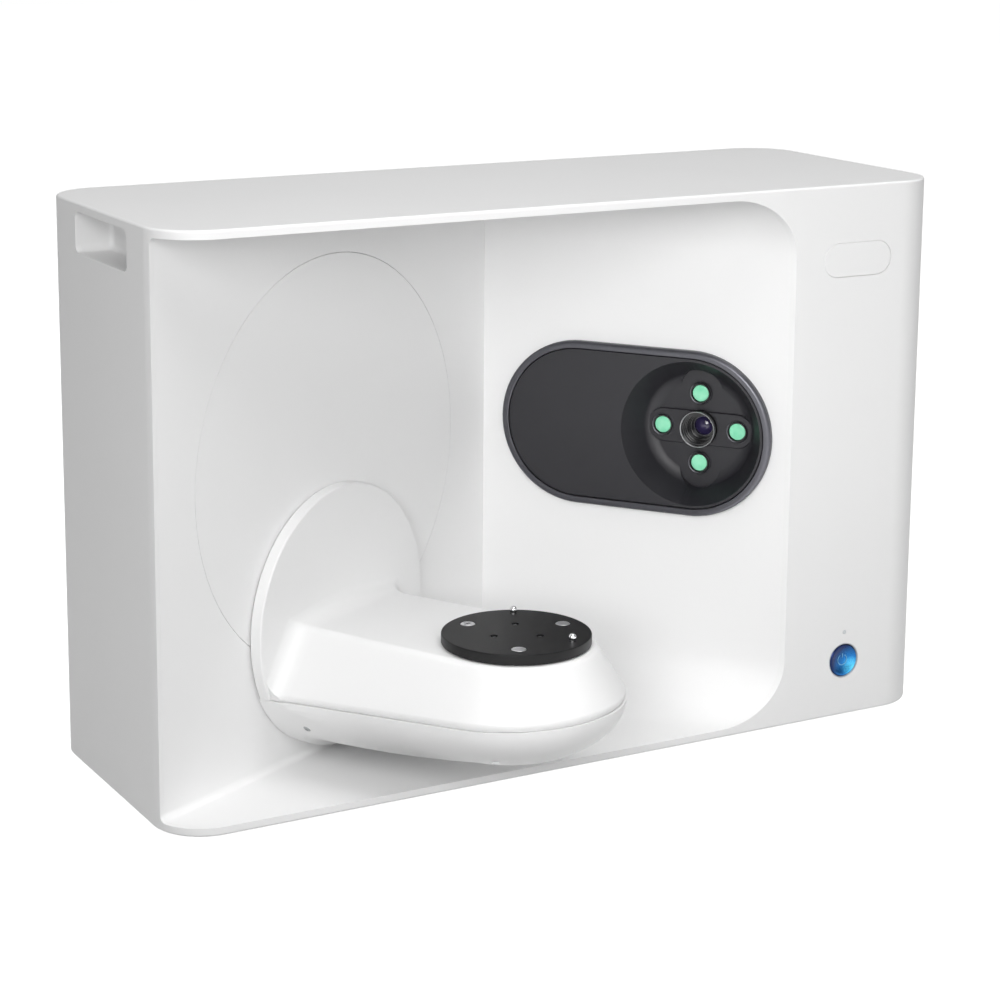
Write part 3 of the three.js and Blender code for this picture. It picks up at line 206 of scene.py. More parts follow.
def run_round(profile, half=0.0, steps=32):
    """Runs a profile of (distance from the middle line, place along Y) round a long-round outline."""
    shape = bmesh.new()
    line = [shape.verts.new((-half, y, r)) for r, y in profile]
    last = [shape.edges.new(pair) for pair in zip(line, line[1:])]
    if not half:
        bmesh.ops.spin(
            shape,
            geom=line + last,
            axis=(0, 1, 0),
            cent=(0, 0, 0),
            angle=2 * math.pi,
            steps=2 * steps,
            use_merge=True,
        )
        return face_out(shape)
    for side in (1, -1):
        pulled = bmesh.ops.extrude_edge_only(shape, edges=last)
        bmesh.ops.translate(shape, vec=(2 * half * side, 0, 0), verts=verts_of(pulled))
        turned = bmesh.ops.spin(
            shape,
            geom=verts_of(pulled) + edges_of(pulled),
            axis=(0, 1, 0),
            cent=(half * side, 0, 0),
            angle=math.pi,
            steps=steps,
        )
        last = edges_of(turned, "geom_last")
    return face_out(shape)


def peg(radius, low, high, steps=16, half=0.0):
    """Plain peg along Y from low to high, long-round where half is given."""
    return run_round([(0, low), (radius, low), (radius, high), (0, high)], half, steps)


def put_up(shape, name):
    mesh = bpy.data.meshes.new(name)
    shape.to_mesh(mesh)
    shape.free()
    thing = bpy.data.objects.new(name, mesh)
    bpy.context.scene.collection.objects.link(thing)
    return thing


def in_order(shape):
    """Gives a shape's corners and faces a fixed order, so that each run makes the same mesh."""
    corners = sorted(shape.verts, key=lambda v: tuple(round(c, 7) for c in v.co))
    number = {v: i for i, v in enumerate(corners)}
    outlines = []
    for face in shape.faces:
        outline = [number[v] for v in face.verts]
        start = outline.index(min(outline))
        outlines.append(outline[start:] + outline[:start])
    fresh = bmesh.new()
    made = [fresh.verts.new(v.co) for v in corners]
    for outline in sorted(outlines):
        fresh.faces.new([made[i] for i in outline])
    fresh.normal_update()
    shape.free()
    return fresh


def worked(shape, operation, *tools):
    """Cuts, joins or trims a shape with each tool in turn, exactly."""
    blank = put_up(shape, "blank")
    used = [put_up(tool, "tool") for tool in tools]
    for tool in used:
        step = blank.modifiers.new("step", "BOOLEAN")
        step.operation = operation
        step.solver = "EXACT"
        step.object = tool
    result = bmesh.new()
    result.from_object(blank, bpy.context.evaluated_depsgraph_get())
    for thing in (blank, *used):
        mesh = thing.data
        bpy.data.objects.remove(thing)
        bpy.data.meshes.remove(mesh)
    bmesh.ops.remove_doubles(result, verts=result.verts, dist=weld)
    result = in_order(result)
    flat = math.radians(0.1)
    bmesh.ops.dissolve_limit(result, angle_limit=flat, verts=result.verts, edges=result.edges)
    return in_order(result)


def ease_edges(shape, reach, steps=2, least=40, chosen=None):
    """Rounds the edges that bend by more than the least angle, or the chosen ones among them."""
    edges = [
        e
        for e in shape.edges
        if e.is_manifold and e.calc_face_angle(0) > math.radians(least) and (chosen is None or chosen(e))
    ]
    bmesh.ops.bevel(
        shape,
        geom=edges,
        offset=reach,
        offset_type="OFFSET",
        segments=steps,
        profile=0.5,
        affect="EDGES",
        clamp_overlap=True,
        material=-1,
    )
    return shape


def keep_piece(shape, name, body, material, slot, *nodes, sharp=35):
    """Puts a piece up with its material, smooth between its sharp edges, and says what it rides on."""
    piece = put_up(shape, name)
    piece.data.materials.append(material)
    piece.data.polygons.foreach_set("use_smooth", [True] * len(piece.data.polygons))
    piece.data.set_sharp_from_angle(angle=math.radians(sharp))
    evened = piece.modifiers.new("evened", "WEIGHTED_NORMAL")
    evened.weight = 100
    evened.keep_sharp = True
    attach(piece, body)
    if nodes:
        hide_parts(*nodes)
    return piece


# The two slanted walls meet at the fold, and the right one ends at the bay's mouth
left_angle = math.radians(26.8)
left_start = 0.0216
left_fillet, right_fillet = 0.004, 0.036
fold_x, fold_y = 0.27670, 0.16137
mouth_x = 0.397
fold = Vector((fold_x, fold_y, 0))
right_angle = math.atan2(-fold_y, mouth_x - fold_x)
bay_low, bay_high = 0.005, 0.325
far = 0.7


def scanning_bay(grow):
    """Open space of the bay, between the two slanted walls, grown all round."""
    slants = ((left_angle, Vector((0, left_start, 0)), left_fillet), (right_angle, fold, right_fillet))
    sides = []
    for angle, start, fillet in slants:
        low = (-far, -far, bay_low - grow)
        high = (far, grow, bay_high + grow)
        side = along_x(low, high, fillet + grow, 16)
        sides.append(moved(side, Matrix.Translation(start) @ Matrix.Rotation(angle, 4, "Z")))
    return worked(sides[0], "INTERSECT", sides[1])


def casing_hollow(gap):
    """Space inside the casing's walls, smaller by a gap all round."""
    inner = wall + gap
    low = (inner, inner, plate_wall + gap)
    high = (width - inner, depth - back_wall - gap, height - plate_wall - gap)
    return round_block(low, high, corner_round - inner, 16)


# The cover sits in a recess with a ledge all round
cover_side, cover_foot = 0.032, 0.009
ledge = 0.007
recess_deep, opening_deep = 0.0028, 0.008


def cover_place(inset, front):
    """Recess of the rear cover, from its front to behind the casing, smaller by an inset all round."""
    low = (cover_side + inset, front, cover_foot + inset)
    high = (width - cover_side - inset, depth + 0.002, height - cover_foot - inset)
    return along_y(low, high, 0.008, 6)


handle_low = (0.052, 0.302)
handle_high = (0.130, 0.325)


def handle_space(start, end, grow, mirror):
    """Space of a handle, from start to end behind the left face, or behind the right one."""
    low = (start, handle_low[0] - grow, handle_low[1] - grow)
    high = (end, handle_high[0] + grow, handle_high[1] + grow)
    space = along_x(low, high, 0.004 + grow, 6)
    if mirror:
        moved(space, Matrix.Translation((width, 0, 0)) @ Matrix.Scale(-1, 4, (1, 0, 0)))
        bmesh.ops.recalc_face_normals(space, faces=space.faces)
    return space


# The button, the pilot light and the oval plate stand over each other on the front panel.
# Their openings start a little outside the panel.
button_x = 0.4416
button_z, pilot_z, plate_z = 0.035, 0.053, 0.285
button_bore, pilot_bore, plate_bore = 0.0112, 0.0014, 0.0104
plate_half = 0.0144
plate_recess = 0.0012
outside, behind_wall = -0.002, 0.005


def on_panel(z):
    """Middle of a fitting on the front panel, at this height."""
    return Matrix.Translation((button_x, 0, z))


wrap = round_block((0, 0, 0), (width, depth, height), corner_round, 24)
ease_edges(wrap, 0.0016, 4, 60)
openings = [
    casing_hollow(0),
    scanning_bay(0),
    cover_place(0, depth - recess_deep),
    cover_place(ledge, depth - opening_deep),
    handle_space(outside, behind_wall, 0, False),
    handle_space(outside, behind_wall, 0, True),
    moved(peg(button_bore, outside, behind_wall, 32), on_panel(button_z)),
    moved(peg(pilot_bore, outside, behind_wall, 12), on_panel(pilot_z)),
    moved(peg(plate_bore, outside, plate_recess, 24, plate_half), on_panel(plate_z)),
]
wrap = worked(wrap, "DIFFERENCE", *openings)
ease_edges(wrap, 0.0005, 2, 50)
keep_piece(moved(wrap, to_world), "casing_wrap", "housing", white_abs, "white_shell", "outer_casing")

# Handle cups: two white mouldings clipped in behind the windows near the top of both sides.
# Their walls run on from the edges of the windows, and their inside corners are rounded for the fingers.
cup_depth, cup_back, cup_wall = 0.022, 0.024, 0.002
for mirror, side in ((False, "left"), (True, "right")):
    pocket = handle_space(outside, cup_depth, 0, mirror)
    ease_edges(pocket, 0.003, 4, 60, lambda e: all(0.01 < v.co.x < width - 0.01 for v in e.verts))
    cup = worked(handle_space(wall + clearance, cup_back, cup_wall, mirror), "DIFFERENCE", pocket)
    moved(cup, to_world)
    keep_piece(cup, side + "_grip_cup", "housing", white_abs, "white_shell", side + "_handle_cup")

# Bay lining: floor, ceiling and both slanted walls, white ABS clipped together with hairline seams.
# It is matt, so that the projector's stripes don't glare, and runs on from the casing's edges.
bay_white = moulded("matt_white_bay_abs", "#eeeeee", "#ebebeb", 0.6, 0.0006, 0.1)
lining_wall = 0.0025
disc_bore, pod_bore = 0.12005, 0.0493
pod_half = 0.0365
swing_point = Vector((0.13746, 0.09104, 0.177))
pod_point = fold + Vector((0.06096, -0.08178, 0.177))
on_left_wall = Matrix.Translation(swing_point) @ Matrix.Rotation(left_angle, 4, "Z")
on_right_wall = Matrix.Translation(pod_point) @ Matrix.Rotation(right_angle, 4, "Z")
lining = worked(scanning_bay(lining_wall), "INTERSECT", casing_hollow(clearance))
disc_hole = moved(peg(disc_bore, -0.01, 0.01, 90), on_left_wall)
pod_hole = moved(peg(pod_bore, -0.01, 0.01, 32, pod_half), on_right_wall)
lining = worked(lining, "DIFFERENCE", scanning_bay(0), disc_hole, pod_hole)
keep_piece(
    moved(lining, to_world),
    "bay_lining",
    "housing",
    bay_white,
    "white_shell",
    "bay_left_wall",
    "bay_right_wall",
    "bay_floor",
    "bay_ceiling",
)


# Rear cover: a flat panel of the casing's white ABS, with the fan grille and the socket openings.
# It lies on the ledge of its recess and is held by eight screws.
def merged_copy(node):
    """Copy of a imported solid's mesh, with its loose triangles joined into flat faces."""
    shape = bmesh.new()
    shape.from_mesh(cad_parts[node].data)
    bmesh.ops.remove_doubles(shape, verts=shape.verts, dist=weld)
    flat = math.radians(0.5)
    bmesh.ops.dissolve_limit(shape, angle_limit=flat, verts=shape.verts, edges=shape.edges)
    return shape


cover = merged_copy("rear_cover")
ease_edges(cover, 0.0004)
keep_piece(cover, "back_cover", "housing", white_abs, "white_shell", "rear_cover")


# Cover screws: eight pan heads with a cross recess, of zinc plated steel, which looks pale and cloudy.
# They are driven through the rear cover's edge into the casing's ledge.
def worked_metal(name, colour, darker, rough, drift):
    """Polished, anodised or plated metal, whose tone and gloss wander in clouds as wide as the drift."""
    material, tree = new_material(name)
    place = add_node(tree, "ShaderNodeTexCoord").outputs["Object"]
    noise = add_node(tree, "ShaderNodeTexNoise", {"Vector": place, "Scale": 1 / drift, "Detail": 4.0})
    tone = add_node(
        tree,
        "ShaderNodeMix",
        {"Factor": noise.outputs["Fac"], "A": linear(darker), "B": linear(colour)},
        data_type="RGBA",
    )
    gloss = add_node(
        tree,
        "ShaderNodeMapRange",
        {"Value": noise.outputs["Fac"], "To Min": rough - 0.04, "To Max": rough + 0.06},
    )
    bump = add_node(
        tree, "ShaderNodeBump", {"Height": noise.outputs["Fac"], "Strength": 0.06, "Distance": 0.0001}
    )
    shader = add_node(
        tree,
        "ShaderNodeBsdfPrincipled",
        {
            "Base Color": tone.outputs["Result"],
            "Roughness": gloss.outputs["Result"],
            "Normal": bump.outputs["Normal"],
            "Metallic": 1.0,
        },
    )
    close_material(tree, shader)
    return material


zinc_steel = worked_metal("zinc_plated_steel", "#b4b6b8", "#a2a4a6", 0.34, 0.006)
screw_heights = (0.0165, 0.3135)
screw_columns = (0.042, 0.1825, 0.3225, 0.463)


def cross_recess(reach, blade, low, high):
    """Two crossed bars, from low to high along Y, that cut the recess of a screw."""
    return [
        along_y((-reach, low, -blade), (reach, high, blade), 0),
        along_y((-blade, low, -reach), (blade, high, reach), 0),
    ]


def screw(radius, crown, length):
    """Screw that points along Y, with its head's crown towards -Y."""
    head = run_round(
        [(0, -crown), (radius * 0.6, -crown * 0.9), (radius * 0.9, -crown * 0.5), (radius, 0)]
        + [(radius * 0.45, 0), (radius * 0.45, length), (0, length)],
        0,
        14,
    )
    return worked(head, "DIFFERENCE", *cross_recess(radius * 0.6, radius * 0.16, -crown * 2, -crown * 0.1))


for i, (x, z) in enumerate((x, z) for z in screw_heights for x in screw_columns):
    facing = Matrix.Translation((x, depth + 0.0001, z)) @ Matrix.Rotation(math.pi, 4, "Z")
    piece = moved(screw(0.0034, 0.0009, 0.002), to_world @ facing)
    keep_piece(piece, f"cover_screw_{i + 1}", "housing", zinc_steel, "steel")

# Feet: four round rubber feet, glued and screwed under the corners, slightly narrower at the tip.
# The moulded rubber is nearly black and dull, with a coarse skin.
rubber = moulded("moulded_black_rubber", "#2b2b2c", "#232324", 0.85, 0.0008, 0.3, 0.02)
for place_name in ("front_left", "front_right", "back_left", "back_right"):
    foot = merged_copy("foot_" + place_name)
    ease_edges(foot, 0.0012, 3)
    keep_piece(foot, "rubber_foot_" + place_name, "housing", rubber, "rubber", "foot_" + place_name)

# Power button ring: a grey nylon sleeve behind the front panel that guides the button.
# A pale, smoother nylon bezel is pressed round it and shows as a thin bright line.
button_place = Matrix.Translation(corner + Vector((button_x, 0, button_z)))
bright_nylon = moulded("moulded_grey_nylon", "#b9bcc2", "#aeb1b8", 0.4, 0.0005, 0.12, 0.02)
sleeve = merged_copy("button_ring")
ease_edges(sleeve, 0.0002)
keep_piece(sleeve, "button_sleeve", "housing", bright_nylon, "black_plastic", "button_ring")
pale_nylon = moulded("moulded_pale_nylon", "#f6f9ff", "#f0f4fb", 0.3, 0.0005, 0.05, 0.02)
bezel = run_round(
    [(0.0104, 0.0004), (0.0106, 0.0001), (0.0109, 0.0001), (0.0111, 0.0003), (0.0111, 0.0035)]
    + [(0.0104, 0.0035), (0.0104, 0.0004)],
    0,
    36,
)
keep_piece(moved(bezel, button_place), "button_bezel", "housing", pale_nylon, "white_shell")

# Power button: a turned aluminium cap, anodised blue and polished, with a dished face.
# Its dish colour is a painted reflection that climbs from navy to a clear light blue towards a spot low at
# its right, with a faint painted glow of the same colour.
blue_painted_reflection, tree = new_material("polished_blue_anodised_aluminium_painted_reflection")
place = add_node(tree, "ShaderNodeTexCoord").outputs["Object"]
# Painted reflection: the blue is lightest round this spot, low at the button's right, and darkest far from
# it.
painted_reflection_spot = add_node(
    tree,
    "ShaderNodeVectorMath",
    {0: place, 1: (corner.x + button_x + 0.0062, corner.y, corner.z + 0.0300)},
    operation="DISTANCE",
)
ramp = add_node(tree, "ShaderNodeMapRange", {"Value": painted_reflection_spot.outputs["Value"], "From Max": 0.0145})
painted_reflection_ramp = add_node(tree, "ShaderNodeValToRGB", {"Fac": ramp.outputs["Result"]})
nearest, farthest = painted_reflection_ramp.color_ramp.elements[0], painted_reflection_ramp.color_ramp.elements[1]
for stop, (at, colour) in zip((nearest, farthest), ((0.0, "#55c3ee"), (1.0, "#071c46"))):
    stop.position = at
    stop.color = linear(colour)
middle_stop = painted_reflection_ramp.color_ramp.elements.new(0.48)
middle_stop.color = linear("#145f9c")
turned_marks = add_node(tree, "ShaderNodeTexNoise", {"Vector": place, "Scale": 900.0, "Detail": 2.0})
button_gloss = add_node(
    tree, "ShaderNodeMapRange", {"Value": turned_marks.outputs["Fac"], "To Min": 0.2, "To Max": 0.32}
)
shader = add_node(
    tree,
    "ShaderNodeBsdfPrincipled",
    {
        "Base Color": painted_reflection_ramp.outputs["Color"],
        "Roughness": button_gloss.outputs["Result"],
        "Metallic": 0.75,
        # A faint painted glow of the same blue.
        "Emission Color": painted_reflection_ramp.outputs["Color"],
        "Emission Strength": 0.1,
    },
)
close_material(tree, shader)
cap = run_round(
    [(0, 0.0016), (0.003, 0.0015), (0.0058, 0.0010), (0.0080, 0.0003), (0.0088, 0), (0.0096, 0.0001)]
    + [(0.0101, 0.0006), (0.0101, 0.006), (0.0024, 0.006), (0.0024, 0.013), (0, 0.013)],
    0,
    36,
)
keep_piece(moved(cap, button_place), "blue_power_button", "button", blue_painted_reflection, "blue_metal", "power_button")

# Power mark: the usual open ring with a stroke, set in the middle of the button's dish.
# It is a fine line, smooth and slightly glossy, whose pale blue is a painted highlight on the symbol.
mark_painted_highlight = moulded("pale_blue_mark_painted_highlight", "#6aa9cf", "#5c9cc4", 0.3, 0.0004, 0.05, 0.01)
mark_radius = 0.0031
mark_opening = 60
mark_section = ((0, 0.0012), (0.00045, 0.0012), (0.00045, 0.0018), (0, 0.0018))
mark = bmesh.new()
loop = [mark.verts.new((mark_radius + x, y, 0)) for x, y in mark_section]
sides = [mark.edges.new((loop[i], loop[(i + 1) % 4])) for i in range(4)]
mark.faces.new(loop)
first_turn = Matrix.Rotation(-math.radians(mark_opening), 3, "Y")
bmesh.ops.rotate(mark, cent=(0, 0, 0), matrix=first_turn, verts=mark.verts)
bmesh.ops.spin(
    mark,
    geom=mark.faces[:] + sides + loop,
    axis=(0, 1, 0),
    cent=(0, 0, 0),
    angle=math.radians(360 - mark_opening),
    steps=40,
)
face_out(mark)
keep_piece(moved(mark, button_place), "power_mark_ring", "button", mark_painted_highlight, "blue_metal")
stroke = along_y((-0.00022, 0.0012, 0.0014), (0.00022, 0.0018, 0.0042), 0.0002, 3)
keep_piece(moved(stroke, button_place), "power_mark_stroke", "button", mark_painted_highlight, "blue_metal")


# Button spring: a short coil of drawn spring steel behind the button, grey and softly bright.
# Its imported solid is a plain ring, which stays, because nothing of it is in sight.
def give_finish(node, material):
    """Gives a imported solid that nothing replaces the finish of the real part."""
    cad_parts[node].data.materials.clear()
    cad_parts[node].data.materials.append(material)


spring_steel = worked_metal("drawn_spring_steel", "#a6a8aa", "#96989a", 0.3, 0.002)
give_finish("button_spring", spring_steel)

# Pilot light: an acrylic light pipe pressed in from behind, flush with the panel.
# It is smooth and clear, and looks pale grey while it isn't lit.
acrylic = moulded("clear_acrylic_light_pipe", "#cfd3d5", "#c6cacc", 0.15, 0.0004, 0.03, 0.01)
give_finish("pilot_light", acrylic)

# Oval plate: a thin plate of the casing's white ABS, left bare.
# It is glued flush into its recess at the top right, so that only its edge shows.
plate = run_round([(0, 0), (0.0099, 0), (0.01025, 0.00035), (0.01025, 0.0009), (0, 0.0009)], plate_half, 24)
moved(plate, Matrix.Translation(corner + Vector((button_x, 0, plate_z))))
keep_piece(plate, "bare_oval_plate", "housing", white_abs, "white_shell", "oval_plate")

# Mains inlet and rocker: a black PBT body with the socket and its three blades, and the switch's key.
# Both are clipped into the rear cover, and moulded PBT has a dull sheen with a fine grain.
black_pbt = moulded("moulded_black_pbt", "#1e1e20", "#17171a", 0.48, 0.0005, 0.12, 0.02)
mains_parts = (("mains_inlet", "power_inlet", "housing"), ("rocker_switch", "rocker_key", "rocker"))
for node, name, body in mains_parts:
    shape = merged_copy(node)
    ease_edges(shape, 0.0003)
    keep_piece(shape, name, body, black_pbt, "black_plastic", node)

# Data socket: a folded steel shell round a black tongue, soldered to the board behind the cover.
# Its nickel plating is bright and neutral in tone.
nickel = worked_metal("nickel_plated_steel", "#b9babb", "#aeb0b1", 0.28, 0.003)
socket = merged_copy("data_socket")
ease_edges(socket, 0.0002)
keep_piece(socket, "data_port_shell", "housing", nickel, "steel", "data_socket")

# Fan: a 60 mm box fan in black PBT, screwed to the cover behind the grille.
# Its rotor is one moulding, with pitched blades round the hub of its motor.
for node, name, body in (("fan_frame", "fan_box", "housing"), ("fan_rotor", "fan_blades", "rotor")):
    keep_piece(merged_copy(node), name, body, black_pbt, "black_plastic", node)

# Inside parts, out of sight behind the cover: the board, the supply and the drives.
# They keep their solids and get the finish of the real part.
pcb = moulded("green_solder_mask_laminate", "#1f6d3d", "#195c33", 0.35, 0.0009, 0.1, 0.01)
ground_steel = worked_metal("ground_bearing_steel", "#b4b5b6", "#a5a6a8", 0.25, 0.003)
milled_aluminium = worked_metal("milled_aluminium", "#c3c5c7", "#b6b8ba", 0.36, 0.004)
inside = {
    "main_board": pcb,
    "power_supply": zinc_steel,
    "swing_frame": zinc_steel,
    "swing_motor": zinc_steel,
    "lift_motor": zinc_steel,
    "table_motor": zinc_steel,
    "swing_bearing": ground_steel,
    "lift_bearing": ground_steel,
    "table_bearing": ground_steel,
    "swing_gear": ground_steel,
    "swing_pinion": ground_steel,
    "lift_pinion": ground_steel,
    "lift_shaft": ground_steel,
    "arm_beam": milled_aluminium,
    "camera_bracket": milled_aluminium,
    "projector_engine": black_pbt,
}
for node, material in inside.items():
    give_finish(node, material)

# Swing disc: a large disc of the bay's matt white ABS, with its hub and the lift boss behind.
# It turns flush in the left wall, and only a hairline seam shows round it.
disc = merged_copy("swing_disc")
ease_edges(disc, 0.0003)
keep_piece(disc, "wall_disc", "disc", bay_white, "white_shell", "swing_disc")

# Arm: two satin white ABS shells that meet at a tilted parting line, the round flange in one with the upper.
# Its frame has the lift axis for Y, the arm along -Y, and its creases and the cove at the flange are soft.
arm_white = moulded("satin_white_arm_abs", "#ebebeb", "#e8e8e8", 0.4, 0.0006, 0.08)
lift_point = swing_point - Vector((0, 0, 0.0913))
arm_frame = to_world @ Matrix.Translation(lift_point) @ Matrix.Rotation(left_angle, 4, "Z")
root, tip = -0.009, -0.191
table_axis = -0.129
flange_radius = 0.077
flange_back = -0.0006
seam = 0.00015
seam_at_root, seam_at_tip = -0.034, -0.0245
shell_wall = 0.0025
hollow_end = root - 0.0008

# Half widths of the upper shell's flat top and of its sides, at the round end and at the flange
top_half_at_tip, top_half_at_root = 0.045, 0.043
side_half_at_tip, side_half_at_root = 0.062, 0.068


def parting(y):
    """Height of the parting line between the two shells, at a place along the arm."""
    return seam_at_root + (y - root) / (tip - root) * (seam_at_tip - seam_at_root)


def half_round(profile):
    """Turns a profile of (distance from the table's axis, height) through the arm's round end."""
    shape = bmesh.new()
    line = [shape.verts.new((r, table_axis, z)) for r, z in profile]
    edges = [shape.edges.new(pair) for pair in zip(line, line[1:])]
    bmesh.ops.spin(
        shape,
        geom=line + edges,
        axis=(0, 0, 1),
        cent=(0, table_axis, 0),
        angle=-math.pi,
        steps=64,
    )
    bmesh.ops.remove_doubles(shape, verts=shape.verts, dist=1e-7)
    return shape


def pull_to_root(shape, stations):
    """Draws the open edge over the table's axis out to each station towards the flange."""
    last = [
        e for e in shape.edges if e.is_boundary and all(abs(v.co.y - table_axis) < hair for v in e.verts)
    ]
    place_now = table_axis
    for y in stations:
        pulled = bmesh.ops.extrude_edge_only(shape, edges=last)
        bmesh.ops.translate(shape, vec=(0, y - place_now, 0), verts=verts_of(pulled))
        last = edges_of(pulled)
        place_now = y
    bmesh.ops.holes_fill(shape, edges=last, sides=0)


# The cove is a quarter circle of this radius, drawn in six steps
cove = 0.012
cove_turns = [math.radians(a) for a in (90, 75, 60, 45, 30, 15, 0)]
cove_stations = [root - cove * (1 - math.cos(a)) for a in cove_turns]


def spread_cove(shape, middle):
    """Spreads a shell into the flange, away from a middle line of the given heights."""
    for v in shape.verts:
        near = min(max((v.co.y - (root - cove)) / cove, 0), 1)
        arm_line = Vector((0, v.co.y, middle(v.co.y)))
        away = v.co - arm_line
        if near and away.length > 0.002:
            out = cove * (1 - math.sqrt(1 - near**2))
            v.co = arm_line + away * (1 + out / away.length)


def within(radius):
    """Round bar on the lift axis that a shell is trimmed to."""
    return peg(radius, -0.3, 0.1, 64)


def upper_hull(inset, start):
    """Upper shell's outside, or its hollow with an inset, from the round end to start."""
    top = 0.0045 - inset
    base = parting(table_axis)
    sill = base + seam if not inset else base - 0.002
    crease = base + 0.0026
    profile = [
        (0, top),
        (top_half_at_tip - inset, top),
        (side_half_at_tip - inset, crease),
        (0.0605 - inset, sill),
        (0, sill),
    ]
    shape = half_round(profile)
    stations = [-0.10, -0.07, -0.045] + cove_stations + [start]
    pull_to_root(shape, [y for y in stations if y <= start] if inset else stations)
    face_out(shape)
    for v in shape.verts:
        low = min(max((top - v.co.z) / (top - crease), 0), 1)
        share = max((v.co.y - table_axis) / (root - table_axis), 0)
        top_widen = top_half_at_root / top_half_at_tip
        side_widen = side_half_at_root / side_half_at_tip
        widen = top_widen * (1 - low) + side_widen * low
        v.co.x *= 1 + min(share, 1) * (widen - 1)
        v.co.z += low * (parting(v.co.y) - base)

    def on_top(edge):
        return all(abs(v.co.z - top) < hair for v in edge.verts)

    def on_side_crease(edge):
        return all(v.co.z - parting(v.co.y) > 0.002 and v.co.z < 0 for v in edge.verts)

    if not inset:
        ease_edges(shape, 0.0035, 5, 12, on_top)
        ease_edges(shape, 0.0022, 4, 40, on_side_crease)
        spread_cove(shape, lambda y: -0.016)
        for v in shape.verts:
            v.co.z = max(v.co.z, parting(v.co.y) + seam)
    return shape


def room_above():
    """Everything above the parting plane, half a seam away from it."""
    shape = round_block((-0.3, -0.3, 0), (0.3, 0.1, 0.3), 0)
    for v in shape.verts:
        if abs(v.co.z) < hair:
            v.co.z = parting(v.co.y) + seam
    return shape


def flange_disc(edge):
    """The flange as a disc, with its front edge rounded and its back edge broken by the same amount."""
    turns = (0.52, 1.05, 1.57)
    front = [(flange_radius - edge * (1 - math.sin(a)), root + edge * (1 - math.cos(a))) for a in turns]
    return run_round(
        [(0, root), (flange_radius - edge, root)]
        + front
        + [(flange_radius, flange_back - edge), (flange_radius - edge, flange_back), (0, flange_back)],
        0,
        64,
    )


# The lift shaft's end sits in a socket in the flange, and the table's spindle goes down through its own hole
socket_tool = peg(0.0123, -0.0068, 0.002, 24)
on_table_axis = Matrix.Translation((0, table_axis, 0)) @ Matrix.Rotation(math.pi / 2, 4, "X")
spindle_hole = moved(peg(0.0085, -0.002, 0.02, 24), on_table_axis)
upper = worked(upper_hull(0, root + 0.003), "INTERSECT", within(flange_radius - 0.0016))
upper = worked(upper, "UNION", flange_disc(0.0015))
upper = worked(upper, "DIFFERENCE", upper_hull(shell_wall, hollow_end), socket_tool.copy(), spindle_hole)
upper = worked(upper, "INTERSECT", room_above())
moved(upper, arm_frame)
keep_piece(upper, "arm_top_shell", "arm", arm_white, "white_shell", "arm_upper_shell", sharp=28)

# The lower shell is a bowl: its end is a quarter of an egg, and towards the flange
# its half-ellipse widens into the flange's circle
bowl_deep = 0.033


def bowl_depth(share):
    """Depth of the bowl at a share of the way from the table's axis to the flange."""
    return bowl_deep + 0.002 * share + 0.003 * 4 * share * (1 - share)


def lower_bowl(inset, start):
    """Lower shell's outside, or its hollow with an inset, from the round end to start."""
    turns = [math.radians(a) for a in range(0, 91, 5)]
    half, deep = side_half_at_tip - inset, bowl_deep - inset
    profile = [(half * math.cos(a), -deep * math.sin(a)) for a in turns]
    lid = 0.004 if inset else 0
    shape = half_round([(0, lid), (half, lid)] + (profile if inset else profile[1:]))
    stations = [-0.11, -0.09, -0.07, -0.05, -0.035] + cove_stations + [-0.004, start]
    pull_to_root(shape, [y for y in stations if y <= start])
    face_out(shape)
    for v in shape.verts:
        share = min(max((v.co.y - table_axis) / (root - table_axis), 0), 1)
        v.co.x *= 1 + share * (side_half_at_root / side_half_at_tip - 1)
        if v.co.z < 0:
            v.co.z *= bowl_depth(share) / bowl_deep
        v.co.z += parting(v.co.y) - (0 if inset else seam)
    if not inset:
        spread_cove(shape, lambda y: parting(y) - seam)
    return shape


lower = worked(lower_bowl(0, flange_back), "INTERSECT", within(flange_radius - 0.0001))
lower = worked(lower, "DIFFERENCE", lower_bowl(shell_wall, hollow_end), socket_tool)
moved(lower, arm_frame)
keep_piece(lower, "arm_bottom_shell", "arm", arm_white, "white_shell", "arm_lower_shell", sharp=28)

# Arm screws: two small nickel plated screws, which hold the shells together near the arm's root and tip.
# Each is given by its head's place in the arm's frame and the way that it faces.
shell_screws = (
    ("root", (-0.05864, -0.02697, -0.04971), (-0.766, 0, -0.643)),
    ("tip", (-0.04358, -0.14496, -0.04889), (-0.464, -0.224, -0.857)),
)
for place_name, place, outward in shell_screws:
    facing = Vector(outward).to_track_quat("-Y", "Z").to_matrix().to_4x4()
    piece = moved(screw(0.0023, 0.0005, 0.0018), arm_frame @ Matrix.Translation(place) @ facing)
    keep_piece(piece, "shell_screw_" + place_name, "arm", nickel, "steel")

# Turntable: turned aluminium with a broken edge and tapped holes, clamped on the motor's shaft.
# Hard anodising makes it a deep, even black with a soft gloss. Its frame has the table's axis for Y.
black_anodised = moulded(
    "hard_black_anodised_aluminium", "#151516", "#101011", 0.42, 0.0004, 0.08, 0.02, index=1.3
)
table_frame = arm_frame @ Matrix.Translation((0, table_axis, 0)) @ Matrix.Rotation(math.pi / 2, 4, "X")


def round_the_table(radius, first, count=3):
    """Places on a circle of the table, a third of a turn apart, from a first angle in degrees."""
    turns = [math.radians(first + 120 * i) for i in range(count)]
    return [Matrix.Translation((radius * math.cos(a), 0, -radius * math.sin(a))) for a in turns]


